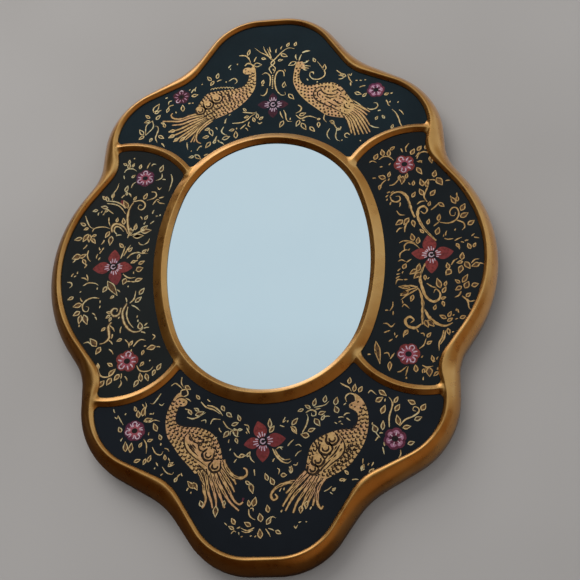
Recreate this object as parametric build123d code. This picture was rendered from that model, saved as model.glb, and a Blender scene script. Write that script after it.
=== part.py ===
from build123d import *
import os

# A gilded wooden wall mirror: a lobed rim, an oval ring round the looking glass and four curved
# bars between them, with four panels of reverse-painted glass in the compartments.
# Millimetres. X is across, +Y is the top of the hung mirror, +Z is the way the glass faces.
# The back of the rim lies on Z = 0.

# ------------------------------------------------------------------ driving dimensions
# Opening of the rim, where its lip meets the painted glass. A polygon with a fillet at each
# corner; one quadrant, from the side lobe round to the crown, and the rest by symmetry.
side_corner_x = 119.5
waist_corner_x = 77.9
waist_corner_y = 56.8
shoulder_corner_x = 84.7
shoulder_corner_y = 89.7
neck_corner_x = 42.3
neck_corner_y = 109.4
crown_corner_x = 21.2
crown_corner_y = 142.9
side_radius = 66.0
waist_radius = 16.8
shoulder_radius = 28.9
neck_radius = 24.5
crown_radius = 27.0

# Outer edge of the rim: how far its corners lie from the opening's, and their fillets. The rim
# swells at the waist and the neck, where the wood is short-grained.
side_reach = 6.7
waist_reach_x = 11.4
waist_reach_y = -2.5
shoulder_reach_x = 3.3
shoulder_reach_y = 4.4
neck_reach_x = 3.5
neck_reach_y = 8.6
crown_reach_x = 2.4
crown_reach_y = 7.1
outer_side_radius = 74.5
outer_waist_radius = 25.5
outer_shoulder_radius = 40.0
outer_neck_radius = 40.0
outer_crown_radius = 33.5
# Straight left between two fillets where a moved corner leaves them too little room
least_straight = 0.3

# Rim moulding
rim_inner_slope = 2.4
rim_outer_slope = 3.9
rim_rise = 2.0
rim_lip = 0.4
rim_outer_drop = 7.5
rim_back_arris = 0.6

# Ring round the looking glass: an oval of four arcs, given at the ring's inner edge
mirror_half_width = 50.0
mirror_half_height = 67.0
mirror_flank_radius = 108.0
ring_width = 6.9
ring_rise = 2.4
ring_inner_wall = 0.9
ring_outer_wall = 0.5
ring_bow = 0.35
ring_stem = 2.6

# Curved bars between the ring and the rim, each an arc about a centre in its own quadrant
bar_centre_x = 74.1
bar_centre_y = 32.8
bar_radius = 37.5
bar_start_angle = 185.0
bar_end_angle = 62.0
bar_width = 4.6
bar_rise = 1.7
bar_wall = 0.4
bar_bow = 0.3
bar_stem = 1.6

# Layers from the back to the front
back_recess = 4.0
board_thickness = 3.0
card_thickness = 1.0
glass_thickness = 2.0
glass_lap = 2.0
edge_gap = 0.2

# Half-lap joints between the four rim pieces, at the waists
lap_middle_y = 69.0
lap_length = 12.0

# Brads that hold the backboard, one at the middle of each of the opening's bulging fillets
brad_diameter = 1.2
brad_length = 9.0
brad_depth = 3.0

# Hanger: a folded strap, its two rivets and the ring that swings in it
hanger_drop = 32.0
wire_diameter = 2.0
ring_inner_width = 14.0
ring_inner_height = 12.0
ring_base_radius = 3.0
ring_crown_flat = 1.2
strap_width = 9.0
strap_length = 22.0
strap_thickness = 0.8
strap_fold_start = 1.6
strap_corner_radius = 2.0
pivot_clearance = 0.05
rivet_diameter = 3.0
rivet_head_diameter = 5.2
rivet_head_height = 0.8
rivet_head_bevel = 0.5
rivet_flange_diameter = 4.8
rivet_flange_height = 0.5
rivet_flange_bevel = 0.3
rivet_bore_diameter = 1.8
rivet_bore_depth = 3.4
rivet_first = 8.0
rivet_pitch = 8.5
rivet_card_gap = 0.7

# ------------------------------------------------------------------ worked-out sizes
board_z = back_recess
card_z = board_z + board_thickness
glass_z = card_z + card_thickness
face_z = glass_z + glass_thickness
rim_depth = face_z + rim_rise
rebate = glass_lap + edge_gap
ring_middle = ring_width / 2
stem_half = ring_stem / 2


# ------------------------------------------------------------------ outlines
def all_round(quadrant):
    """Corners of a whole outline as (x, y, radius), anticlockwise, from those of one quadrant."""
    upper = quadrant + [(-x, y, radius) for x, y, radius in reversed(quadrant)]
    lower = [(-x, -y, radius) for x, y, radius in upper[1:-1]]
    return upper + lower


def side_normal(start, end):
    """Outward unit normal of one straight side of an anticlockwise polygon."""
    along = Vector(end[0] - start[0], end[1] - start[1]).normalized()
    return Vector(along.Y, -along.X)


def corner_mitres(corners):
    """For each corner, how far it moves when both its sides move outwards by 1."""
    mitres = []
    for before, corner, after in zip(corners[-1:] + corners[:-1], corners, corners[1:] + corners[:1]):
        first = side_normal(before, corner)
        second = side_normal(corner, after)
        mitres.append((first + second) / (1 + first.dot(second)))
    return mitres


def with_room_for_fillets(corners):
    """The corners, with the two fillets of any side that is too short for them made smaller."""
    points = [Vector(x, y) for x, y, _ in corners]
    setbacks = [abs(corner[2]) * (mitre.length**2 - 1) ** 0.5 for corner, mitre in zip(corners, corner_mitres(corners))]
    shares = []
    for number, point in enumerate(points):
        room = (point - points[number - 1]).length - least_straight
        shares.append(min(1, room / (setbacks[number - 1] + setbacks[number])))
    limits = [min(before, after) for before, after in zip(shares, shares[1:] + shares[:1])]
    return [(x, y, radius * limit) for (x, y, radius), limit in zip(corners, limits)]


# A hollow corner has a negative radius.
opening = with_room_for_fillets(all_round([
    (side_corner_x, 0, side_radius),
    (waist_corner_x, waist_corner_y, -waist_radius),
    (shoulder_corner_x, shoulder_corner_y, shoulder_radius),
    (neck_corner_x, neck_corner_y, -neck_radius),
    (crown_corner_x, crown_corner_y, crown_radius),
]))
outer_edge = with_room_for_fillets(all_round([
    (side_corner_x + side_reach, 0, outer_side_radius),
    (waist_corner_x + waist_reach_x, waist_corner_y + waist_reach_y, -outer_waist_radius),
    (shoulder_corner_x + shoulder_reach_x, shoulder_corner_y + shoulder_reach_y, outer_shoulder_radius),
    (neck_corner_x + neck_reach_x, neck_corner_y + neck_reach_y, -outer_neck_radius),
    (crown_corner_x + crown_reach_x, crown_corner_y + crown_reach_y, outer_crown_radius),
]))


def lobed_wire(corners, out=0):
    """A filleted outline moved outwards by out, fillets included."""
    moved = [Vector(x, y) + mitre * out for (x, y, _), mitre in zip(corners, corner_mitres(corners))]
    radii = [abs(radius + out) for _, _, radius in corners]
    return FilletPolyline(*moved, radius=radii, close=True)


def oval_wire(out):
    """Four-arc oval of the ring's inner edge, moved outwards by out."""
    squares = mirror_half_width**2 + mirror_half_height**2
    difference = mirror_flank_radius - mirror_half_height
    end_radius = (mirror_half_width * mirror_flank_radius - squares / 2) / difference
    end_centre = mirror_half_height - end_radius
    flank_centre = mirror_flank_radius - mirror_half_width
    turn = Vector(flank_centre, end_centre).get_angle(Vector(1, 0))
    flank = mirror_flank_radius + out
    end = end_radius + out
    return Wire([
        CenterArc((-flank_centre, 0), flank, -turn, 2 * turn),
        CenterArc((0, end_centre), end, turn, 180 - 2 * turn),
        CenterArc((flank_centre, 0), flank, 180 - turn, 2 * turn),
        CenterArc((0, -end_centre), end, 180 + turn, 180 - 2 * turn),
    ])


def bar_arc():
    """Centre line of the bar in the first quadrant, longer than the bar at both ends."""
    sweep_angle = bar_end_angle - bar_start_angle
    return CenterArc((bar_centre_x, bar_centre_y), bar_radius, bar_start_angle, sweep_angle)


def in_all_quadrants(shape):
    """The shape and its mirror images, keyed by where they lie."""
    left = mirror(shape, about=Plane.YZ)
    return {
        "top_right": shape,
        "top_left": left,
        "bottom_right": mirror(shape, about=Plane.XZ),
        "bottom_left": mirror(left, about=Plane.XZ),
    }


def slab(outline, bottom, top):
    """The area inside a closed outline, from one height to another."""
    return extrude(Pos(0, 0, bottom) * make_face(outline), top - bottom)


def across(path):
    """Plane across a path at its start: X to the right of travel, Y up."""
    along = path % 0
    return Plane(origin=path @ 0, x_dir=(along.Y, -along.X, 0), z_dir=(-along.X, -along.Y, 0))


def moulded(profile, path):
    """A profile carried along a path. The profile's X is to the right of travel, and its Y is height."""
    return sweep(across(path) * profile, path=path)


# ------------------------------------------------------------------ rim
def outer_cutter():
    """What a router bit takes off the rim's outer side: all that lies outside a quarter ellipse."""
    edge = rim_depth - rim_outer_drop
    curve = EllipticalCenterArc((-rim_outer_slope, edge), rim_outer_slope, rim_outer_drop, 0, arc_size=90)
    return make_face([
        curve,
        Polyline(curve @ 1, (-rim_outer_slope, rim_depth + 1), (1, rim_depth + 1), (1, edge), curve @ 0),
    ])


def inner_cutter():
    """What a router bit takes off the rim's inner side, down to the lip on the glass."""
    low = face_z + rim_lip
    curve = EllipticalCenterArc((rim_inner_slope, low), rim_inner_slope, rim_depth - low, 90, arc_size=90)
    return make_face([
        curve,
        Polyline(curve @ 1, (-1, low), (-1, rim_depth + 1), (rim_inner_slope, rim_depth + 1), curve @ 0),
    ])


def whole_rim():
    """The rim before it is parted: block, opening, rebate for the glass, and moulded front."""
    block = slab(lobed_wire(outer_edge), 0, rim_depth)
    block = chamfer(block.faces().sort_by(Axis.Z)[0].edges(), rim_back_arris)
    block -= slab(lobed_wire(opening), -1, rim_depth + 1)
    block -= slab(lobed_wire(opening, rebate), -1, face_z)
    block -= moulded(outer_cutter(), lobed_wire(outer_edge))
    block -= moulded(inner_cutter(), lobed_wire(opening))
    return block


def brad_places():
    """Planes on the rebate's wall at the middle of each bulging fillet, with Z outwards."""
    height = Vector(0, 0, board_z - brad_diameter / 2)
    places = []
    for (x, y, radius), mitre in zip(opening, corner_mitres(opening)):
        outwards = mitre.normalized()
        middle = Vector(x, y) - outwards * (radius * (mitre.length - 1) - rebate)
        if radius > 0:
            places.append(Plane(origin=middle + height, x_dir=(0, 0, 1), z_dir=outwards))
    return places


def brads():
    """Round brads, half driven into the rim and half lying on the back of the board."""
    half = brad_length / 2
    shift = brad_depth - half
    brad = Cylinder(brad_diameter / 2, brad_length)
    return Compound([place * Pos(0, 0, shift) * brad for place in brad_places()])


def part_rim(rim):
    """The rim sawn into four pieces, half-lapped at the waists: the top and bottom pieces lie over."""
    size = 2 * (side_corner_x + crown_corner_y)
    above_lap = Pos(0, lap_middle_y + lap_length / 2, 0) * Box(size, size, size, align=(Align.CENTER, Align.MIN))
    lap = Pos(0, lap_middle_y, rim_depth / 2) * Box(size, lap_length, size, align=(Align.CENTER, Align.CENTER, Align.MIN))
    top_zone = above_lap + lap
    bottom_zone = mirror(top_zone, about=Plane.XZ)
    sides = rim - top_zone - bottom_zone
    right_zone = Box(size, size, size, align=(Align.MIN, Align.CENTER))
    return {
        "rim_top": rim & top_zone,
        "rim_bottom": rim & bottom_zone,
        "rim_right": sides & right_zone,
        "rim_left": sides - right_zone,
    }


# ------------------------------------------------------------------ ring and bars
def crested_profile(width, rise, left_wall, right_wall, bow, stem):
    """A half-round moulding with a crest, over a stem that stands between two panes of glass."""
    half = width / 2
    left = (-half, face_z + left_wall)
    right = (half, face_z + right_wall)
    crest = (0, face_z + rise)
    left_side = SagittaArc(left, crest, -bow)
    right_side = SagittaArc(crest, right, -bow)
    foot = Polyline(
        right,
        (half, face_z),
        (stem / 2, face_z),
        (stem / 2, glass_z),
        (-stem / 2, glass_z),
        (-stem / 2, face_z),
        (-half, face_z),
        left,
    )
    return make_face([left_side, right_side, foot])


def oval_ring():
    """The ring that frames the looking glass."""
    profile = crested_profile(ring_width, ring_rise, ring_inner_wall, ring_outer_wall, ring_bow, ring_stem)
    return moulded(profile, oval_wire(ring_middle))


def bar(rim, ring):
    """One curved bar, its ends scribed to the mouldings of the rim and the ring."""
    profile = crested_profile(bar_width, bar_rise, bar_wall, bar_wall, bar_bow, bar_stem)
    between = slab(lobed_wire(opening, rim_inner_slope), 0, rim_depth) - slab(oval_wire(ring_middle), 0, rim_depth)
    return (moulded(profile, bar_arc()) & between) - rim - ring


# ------------------------------------------------------------------ glass, card and board
def painted_panes():
    """The four panes in the compartments, each clear of the rim, the ring and the bars."""
    pane = slab(lobed_wire(opening, glass_lap), glass_z, face_z)
    pane -= slab(oval_wire(ring_middle + stem_half + edge_gap), glass_z, face_z)
    kerf = trace(bar_arc(), bar_stem + 2 * edge_gap)
    for slot in in_all_quadrants(extrude(Pos(0, 0, glass_z) * kerf, glass_thickness)).values():
        pane -= slot
    panes = pane.solids()
    by_height = panes.sort_by(Axis.Y)
    by_width = panes.sort_by(Axis.X)
    return {
        "glass_top": by_height[-1],
        "glass_bottom": by_height[0],
        "glass_right": by_width[-1],
        "glass_left": by_width[0],
    }


def looking_glass():
    """The silvered mirror, lapped by the ring."""
    return slab(oval_wire(ring_middle - stem_half - edge_gap), glass_z, face_z)


# ------------------------------------------------------------------ hanger
hanger_y = crown_corner_y - hanger_drop
wire_radius = wire_diameter / 2
loop_bore = wire_radius + pivot_clearance
loop_radius = loop_bore + strap_thickness
hanger_z = board_z - loop_radius
fold_z = board_z - 2 * strap_thickness


def rivet_places():
    """Points on the back of the strap's outer fold where the two rivets go through."""
    return [Pos(0, hanger_y - rivet_first - number * rivet_pitch, fold_z) for number in range(2)]


def through_rivet_places(shape):
    """The same shape at both rivets."""
    return [place * shape for place in rivet_places()]


def backboard():
    """Board that closes the back, drilled for the rivets."""
    board = slab(lobed_wire(opening, glass_lap), board_z, card_z)
    for hole in through_rivet_places(Cylinder(rivet_diameter / 2, rim_depth)):
        board -= hole
    return board


def liner_card():
    """Card between the glass and the board, with room for the rivets' flanges."""
    card = slab(lobed_wire(opening, glass_lap), card_z, glass_z)
    for hole in through_rivet_places(Cylinder(rivet_flange_diameter / 2 + rivet_card_gap, 2 * rim_depth)):
        card -= hole
    return card


def hanger_strap():
    """Strip folded double round the ring's straight side, both folds flat on the board."""
    centre = Pos(hanger_y, hanger_z)
    inner_fold = Pos(hanger_y, board_z) * Rectangle(strap_length, strap_thickness, align=Align.MAX)
    outer_length = strap_length - strap_fold_start
    outer_fold = Pos(hanger_y - strap_fold_start, board_z - strap_thickness)
    outer_fold *= Rectangle(outer_length, strap_thickness, align=Align.MAX)
    side = centre * Circle(loop_radius) + inner_fold + outer_fold - centre * Circle(loop_bore)
    strap = extrude(Plane.YZ * side, strap_width / 2, both=True)
    tail = strap.edges().filter_by(Axis.Z).group_by(Axis.Y)[0]
    strap = fillet(tail, strap_corner_radius)
    for hole in through_rivet_places(Cylinder(rivet_diameter / 2, rim_depth)):
        strap -= hole
    return strap


def hanger_ring():
    """D-shaped wire ring; its straight side turns in the strap's loop."""
    half = ring_inner_width / 2 + wire_radius
    height = ring_inner_height + wire_diameter
    crown_bend = half - ring_crown_flat / 2
    path = Pos(0, hanger_y, hanger_z) * FilletPolyline(
        (half, 0),
        (half, height),
        (-half, height),
        (-half, 0),
        radius=[ring_base_radius, crown_bend, crown_bend, ring_base_radius],
        close=True,
    )
    return sweep(across(path) * Circle(wire_radius), path=path)


def hanger_rivets():
    """Tubular rivets: a domed head on the strap, a shank, and a flange turned over on the board."""
    shank_length = card_z - fold_z
    head = Cylinder(rivet_head_diameter / 2, rivet_head_height, align=(Align.CENTER, Align.CENTER, Align.MAX))
    head = chamfer(head.edges().sort_by(Axis.Z)[0], rivet_head_bevel)
    shank = Cylinder(rivet_diameter / 2, shank_length, align=(Align.CENTER, Align.CENTER, Align.MIN))
    flange = Cylinder(rivet_flange_diameter / 2, rivet_flange_height, align=(Align.CENTER, Align.CENTER, Align.MIN))
    flange = Pos(0, 0, shank_length) * chamfer(flange.edges().sort_by(Axis.Z)[-1], rivet_flange_bevel)
    tip = shank_length + rivet_flange_height
    bore = Pos(0, 0, tip) * Cylinder(rivet_bore_diameter / 2, 2 * rivet_bore_depth)
    return Compound(through_rivet_places(head + shank + flange - bore))


# ------------------------------------------------------------------ assembly
rim = whole_rim()
ring = oval_ring()
brad_group = brads()
bars = in_all_quadrants(bar(rim, ring))
drilled_rim = rim
for place in brad_places():
    drilled_rim -= place * Cylinder(brad_diameter / 2, 2 * brad_depth)

nodes = part_rim(drilled_rim)
nodes["mirror_ring"] = ring
for where, piece in bars.items():
    nodes["bar_" + where] = piece
nodes.update(painted_panes())
nodes["mirror_glass"] = looking_glass()
nodes["liner_card"] = liner_card()
nodes["backboard"] = backboard()
nodes["backboard_brads"] = brad_group
nodes["hanger_strap"] = hanger_strap()
nodes["hanger_rivets"] = hanger_rivets()
nodes["hanger_ring"] = hanger_ring()

os.makedirs("parts", exist_ok=True)
for name, piece in nodes.items():
    export_step(piece, "parts/" + name + ".step")
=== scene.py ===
"""Looks of a gilded wall mirror with four reverse-painted glass panels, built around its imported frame.

Lengths are in millimetres, in the frame's axes: +Y is the top of the hung mirror, +Z is the way the
glass faces, and the back of the rim lies on Z = 0. Meshes are scaled to metres as they are made.
"""

import math

import bpy
import numpy as np
from mathutils import Matrix, Vector


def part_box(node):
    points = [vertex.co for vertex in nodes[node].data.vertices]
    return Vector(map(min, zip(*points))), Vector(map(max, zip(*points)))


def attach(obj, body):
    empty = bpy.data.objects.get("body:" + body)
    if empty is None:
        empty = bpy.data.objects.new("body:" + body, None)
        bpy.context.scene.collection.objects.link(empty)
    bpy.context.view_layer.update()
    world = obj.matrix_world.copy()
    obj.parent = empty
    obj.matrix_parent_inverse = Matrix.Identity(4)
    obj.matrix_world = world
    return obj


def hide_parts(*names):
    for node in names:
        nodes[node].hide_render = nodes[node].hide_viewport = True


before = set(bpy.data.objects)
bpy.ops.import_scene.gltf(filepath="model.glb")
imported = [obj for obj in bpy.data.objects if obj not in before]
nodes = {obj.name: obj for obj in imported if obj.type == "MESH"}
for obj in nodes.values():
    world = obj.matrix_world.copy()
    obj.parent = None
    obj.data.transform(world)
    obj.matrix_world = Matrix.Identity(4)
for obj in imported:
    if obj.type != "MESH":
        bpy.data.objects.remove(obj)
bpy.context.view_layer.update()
MM = 0.001

# ------------------------------------------------------------------ sizes shared with the frame
# A corner is (x, y, fillet radius); a hollow corner's radius is negative. One quadrant each.
OPENING = [
    (119.5, 0, 66.0), (77.9, 56.8, -16.8), (84.7, 89.7, 28.9), (42.3, 109.4, -24.5), (21.2, 142.9, 27.0),
]
OUTER_EDGE = [
    (126.2, 0, 74.5), (89.3, 54.3, -25.5), (88.0, 94.1, 40.0), (45.8, 118.0, -40.0), (23.6, 150.0, 33.5),
]
FACE_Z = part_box("glass_top")[1][2] / MM
CARD_TOP_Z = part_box("glass_top")[0][2] / MM
RIM_TOP_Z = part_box("rim_top")[1][2] / MM
REBATE = 2.2
RIM_LIP = 0.4
RIM_SHOULDER_Z = 4.5
RIM_MIDDLE_Z = 2.5
RIM_BACK_ARRIS = 0.6
LAP_MIDDLE_Y = 69.0

MIRROR_HALF_WIDTH = 50.0
MIRROR_HALF_HEIGHT = 67.0
MIRROR_FLANK_RADIUS = 108.0
RING_WIDTH = 6.9
RING_RISE = 2.4
RING_WALL = 0.5
RING_STEM = 2.6

BAR_CENTRE = np.array([74.1, 32.8])
BAR_RADIUS = 37.5
BAR_HALF_WIDTH = 2.3
BAR_RISE = 1.7
BAR_WALL = 0.4

# ------------------------------------------------------------------ how the carving is finished
# Distances of the crests from the opening and from the looking glass.
RIM_CREST = 1.7
RING_CREST = 2.2
# The rim's crest moves out, and its outer side grows fuller, with each millimetre over this width.
RIM_USUAL_WIDTH = 7
RIM_EXTRA_WIDTH = 6
RIM_CREST_DRIFT = 0.1
RIM_FULLNESS = 1.45
RIM_FULLNESS_GAIN = 0.12
# Powers that round the rim's inner side, and the slopes of the ring and the bars.
RIM_RISE_ROUNDING = (1.5, 0.8)
SLOPE_ROUNDING = 1.2
RING_HEAD_NARROWING = 1.1
# How far the carver's hand strays from a true line: the amount, its wavelength and a seed.
RIM_HEIGHT_WAVER = (0.05, 31, 1)
RIM_CREST_WAVER = (0.2, 43, 2)
RING_CREST_WAVER = (0.15, 37, 3)
BAR_CREST_WAVER = (0.12, 29, 4)
# Fillets where a bar runs into the rim or the ring, and the height over which mouldings melt together.
JOIN_RADIUS = 2.4
JOIN_BLEND = 0.6
# How steeply a moulding's surface is carried down beyond its own edges, where another one takes over.
RUN_OFF = 3
CREST_RUN_OFF = 1.5
LEAST_RISE = 0.02
# How far a bar's end runs in under the other mouldings, and how deep it lies there per millimetre.
BAR_TUCK = 1.2
BAR_DIP = 0.12
# Stations along the mouldings, and points over each side of a crest.
STATION_STEP = 1.3
BAR_STATIONS = 60
RIM_RISE_POINTS = 8
RIM_FALL_POINTS = 17
RING_RISE_POINTS = 8
RING_FALL_POINTS = 14
BAR_SIDE_POINTS = 9
CREASE_DEGREES = 50


# ------------------------------------------------------------------ meshes
def make_mesh(name, vertices, faces, materials, face_materials=None, smooth=True):
    """A mesh object from millimetre coordinates."""
    mesh = bpy.data.meshes.new(name)
    metres = (np.asarray(vertices, float) * MM).tolist()
    mesh.from_pydata(metres, [], [list(map(int, face)) for face in faces])
    for material in materials:
        mesh.materials.append(material)
    if face_materials is not None:
        mesh.polygons.foreach_set("material_index", np.asarray(face_materials, dtype=np.int32))
    mesh.polygons.foreach_set("use_smooth", [smooth] * len(mesh.polygons))
    mesh.update()
    piece = bpy.data.objects.new(name, mesh)
    bpy.context.collection.objects.link(piece)
    return piece


def loft(name, sections, closed, materials, second):
    """A solid through a row of cross-sections, each a closed loop of the same number of points.

    second names the sides of the loop that have the second material. An open loft has end caps."""
    sections = np.asarray(sections, float)
    count, around = sections.shape[:2]
    side_materials = np.zeros(around, dtype=int)
    side_materials[second] = 1
    faces = []
    face_materials = []
    for row in range(count if closed else count - 1):
        here = row * around
        there = (row + 1) % count * around
        for point in range(around):
            following = (point + 1) % around
            faces.append((here + point, here + following, there + following, there + point))
        face_materials.extend(side_materials)
    if not closed:
        faces.append(tuple(range(around))[::-1])
        faces.append(tuple(range((count - 1) * around, count * around)))
        face_materials += [side_materials[-1]] * 2
    return make_mesh(name, sections.reshape(-1, 3), faces, materials, face_materials)


# ------------------------------------------------------------------ outlines
def all_round(quadrant):
    """Corners of a whole outline, anticlockwise, from those of one quadrant."""
    upper = quadrant + [(-x, y, radius) for x, y, radius in reversed(quadrant)]
    return upper + [(-x, -y, radius) for x, y, radius in upper[1:-1]]


def unit(vector):
    return vector / np.linalg.norm(vector)


def filleted(corners, step=0.25):
    """Points and outward normals round a filleted outline, a step apart."""
    points = []
    normals = []
    places = [np.array(corner[:2], float) for corner in corners]
    for number, place in enumerate(places):
        radius = corners[number][2]
        along = unit(place - places[number - 1])
        onward = unit(places[(number + 1) % len(places)] - place)
        turn = math.atan2(along[0] * onward[1] - along[1] * onward[0], along @ onward)
        start = place - along * radius * math.tan(turn / 2)
        first = math.atan2(-along[0], along[1])
        centre = start - radius * np.array([math.cos(first), math.sin(first)])
        for angle in np.linspace(first, first + turn, 2 + int(radius * turn / step)):
            normal = np.array([math.cos(angle), math.sin(angle)])
            points.append(centre + radius * normal)
            normals.append(normal)
    return even_steps(np.array(points), np.array(normals), step)


def even_steps(points, normals, step):
    """The closed outline and its normals again, with points a step apart."""
    looped = np.vstack([points, points[:1]])
    turned = np.vstack([normals, normals[:1]])
    along = np.r_[0, np.cumsum(np.linalg.norm(np.diff(looped, axis=0), axis=1))]
    places = np.linspace(0, along[-1], int(along[-1] / step), endpoint=False)
    return (
        np.stack([np.interp(places, along, looped[:, axis]) for axis in (0, 1)], 1),
        np.stack([np.interp(places, along, turned[:, axis]) for axis in (0, 1)], 1),
    )


def widths_between(points, normals, outline):
    """How far each point is from an outline round it, along the point's normal."""
    ends = np.roll(outline, -1, axis=0)
    widths = []
    for point, normal in zip(points, normals):
        sideways = np.array([-normal[1], normal[0]])
        ahead, ahead_end = (outline - point) @ normal, (ends - point) @ normal
        side, side_end = (outline - point) @ sideways, (ends - point) @ sideways
        crossing = (side * side_end <= 0) & (ahead > 0)
        share = side[crossing] / (side[crossing] - side_end[crossing] + 1e-12)
        widths.append(np.min(ahead[crossing] + share * (ahead_end[crossing] - ahead[crossing])))
    return np.array(widths)


opening_points, opening_normals = filleted(all_round(OPENING), STATION_STEP)
outer_points = filleted(all_round(OUTER_EDGE))[0]
rim_widths = widths_between(opening_points, opening_normals, outer_points)


def across_rim(places):
    """For each place: how far it lies outside the opening, and how wide the rim is there."""
    gaps = places[:, None, :] - opening_points[None, :, :]
    nearest = np.argmin((gaps**2).sum(2), axis=1)
    reach = (gaps[np.arange(len(places)), nearest] * opening_normals[nearest]).sum(1)
    return reach, rim_widths[nearest]


# The oval of the ring's inner edge: four arcs, with their centres on the axes.
oval_squares = MIRROR_HALF_WIDTH**2 + MIRROR_HALF_HEIGHT**2
oval_difference = MIRROR_FLANK_RADIUS - MIRROR_HALF_HEIGHT
END_RADIUS = (MIRROR_HALF_WIDTH * MIRROR_FLANK_RADIUS - oval_squares / 2) / oval_difference
END_CENTRE = MIRROR_HALF_HEIGHT - END_RADIUS
FLANK_CENTRE = MIRROR_FLANK_RADIUS - MIRROR_HALF_WIDTH
FLANK_TURN = math.atan2(END_CENTRE, FLANK_CENTRE)


def outside_oval(places):
    """How far each place lies outside the ring's inner edge."""
    x, y = np.abs(places).T
    flank = np.hypot(x + FLANK_CENTRE, y) - MIRROR_FLANK_RADIUS
    end = np.hypot(x, y - END_CENTRE) - END_RADIUS
    return np.where(np.arctan2(y, x + FLANK_CENTRE) < FLANK_TURN, flank, end)


def oval(step):
    """Points and outward normals round the ring's inner edge."""
    quarter = []
    for angle in np.linspace(0, FLANK_TURN, 60):
        x = MIRROR_FLANK_RADIUS * math.cos(angle) - FLANK_CENTRE
        quarter.append((x, MIRROR_FLANK_RADIUS * math.sin(angle), angle))
    for angle in np.linspace(FLANK_TURN, math.pi / 2, 80)[1:]:
        quarter.append((END_RADIUS * math.cos(angle), END_CENTRE + END_RADIUS * math.sin(angle), angle))
    half = quarter + [(-x, y, math.pi - angle) for x, y, angle in reversed(quarter[:-1])]
    whole = np.array(half + [(-x, -y, math.pi + angle) for x, y, angle in half[1:-1]])
    return even_steps(whole[:, :2], np.stack([np.cos(whole[:, 2]), np.sin(whole[:, 2])], 1), step)


# ------------------------------------------------------------------ heights of the carved mouldings
def waver(places, amount, wavelength, seed):
    """A slow, smooth unevenness up to the amount either way, as a carver's hand leaves."""
    x, y = places.T * (2 * math.pi / wavelength)
    first = np.sin(x + 1.7 * seed) + np.sin(0.8 * y + 2.3 * seed)
    second = np.sin(0.6 * x + 1.1 * y + 0.9 * seed) + np.sin(1.3 * x - 0.7 * y + 3.1 * seed)
    return amount * ((first + second) / 4)


def blend_up(one, other, over):
    """The higher of two surfaces, melted together where their heights are close."""
    closeness = np.clip(1 - np.abs(one - other) / over, 0, 1)
    return np.maximum(one, other) + closeness**2 * over / 4


def rim_crests(width, places):
    """How far the rim's crest lies from the opening: further where the rim is wide."""
    return RIM_CREST + RIM_CREST_DRIFT * (width - RIM_USUAL_WIDTH) + waver(places, *RIM_CREST_WAVER)


def rim_heights(reach, width, places):
    """The rim's front: a short rise from the lip to a crest, then a round fall to the shoulder."""
    crest = RIM_TOP_Z - RIM_HEIGHT_WAVER[0] + waver(places, *RIM_HEIGHT_WAVER)
    lip = FACE_Z + RIM_LIP
    crest_place = rim_crests(width, places)
    rising = np.clip(reach / crest_place, 0, 1)
    low_power, high_power = RIM_RISE_ROUNDING
    inner = lip + (crest - lip) * (1 - (1 - rising) ** low_power) ** high_power
    falling = np.clip((reach - crest_place) / (width - crest_place), 0, 1)
    fullness = RIM_FULLNESS + RIM_FULLNESS_GAIN * np.clip(width - RIM_USUAL_WIDTH, 0, RIM_EXTRA_WIDTH)
    outer = RIM_SHOULDER_Z + (crest - RIM_SHOULDER_Z) * (1 - falling**fullness) ** (1 / fullness)
    heights = np.where(reach < crest_place, inner, outer)
    return np.where(reach < 0, lip + RUN_OFF * reach, heights)


def ring_widths(places):
    """The ring's width, which the carver left narrower at the head of the oval."""
    x, y = places.T
    return RING_WIDTH - RING_HEAD_NARROWING * np.clip(y / np.hypot(x, y), 0, 1) ** 3


def ring_heights(outside, places):
    """The ring's front: two nearly flat slopes that meet at a crest."""
    offset = outside - RING_CREST - waver(places, *RING_CREST_WAVER)
    width = ring_widths(places)
    slope = np.where(offset < 0, RING_CREST, width - RING_CREST)
    down = np.clip(np.abs(offset) / slope, 0, 1) ** SLOPE_ROUNDING
    heights = FACE_Z + RING_RISE - (RING_RISE - RING_WALL) * down
    beyond = np.maximum(0, np.abs(outside - width / 2) - width / 2)
    return heights - RUN_OFF * beyond


def bar_offsets(places):
    """How far each place lies to the outer side of the bar's centre line."""
    return np.hypot(*(np.abs(places) - BAR_CENTRE).T) - BAR_RADIUS


def bar_half_widths(places):
    """Half the bar's width at each place: fillets widen it close to the rim and the ring."""
    half = BAR_HALF_WIDTH
    for distance in (-across_rim(places)[0], outside_oval(places) - ring_widths(places)):
        inside = JOIN_RADIUS - np.clip(distance, 0, JOIN_RADIUS)
        half = half + JOIN_RADIUS - np.sqrt(JOIN_RADIUS**2 - inside**2)
    return half


def bar_heights(places, reach, outside):
    """The bars' fronts. A bar widens into the rim and the ring, and dies into their crests."""
    offset = np.abs(bar_offsets(places) + waver(places, *BAR_CREST_WAVER))
    half = bar_half_widths(places)
    down = np.clip(offset / half, 0, 1) ** SLOPE_ROUNDING
    heights = FACE_Z + BAR_RISE - (BAR_RISE - BAR_WALL) * down
    beyond = np.maximum(0, offset - half)
    past_crests = np.maximum(0, reach - RIM_CREST) + np.maximum(0, RING_CREST - outside)
    below = np.maximum(0, BAR_CENTRE[1] - np.abs(places[:, 1]))
    return heights - RUN_OFF * beyond - CREST_RUN_OFF * past_crests - below


def carved_heights(places):
    """Height of the gilded front over each place."""
    reach, width = across_rim(places)
    outside = outside_oval(places)
    mouldings = blend_up(rim_heights(reach, width, places), ring_heights(outside, places), JOIN_BLEND)
    heights = blend_up(mouldings, bar_heights(places, reach, outside), JOIN_BLEND)
    return np.where(reach > 0, heights, np.maximum(heights, FACE_Z + LEAST_RISE))


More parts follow.
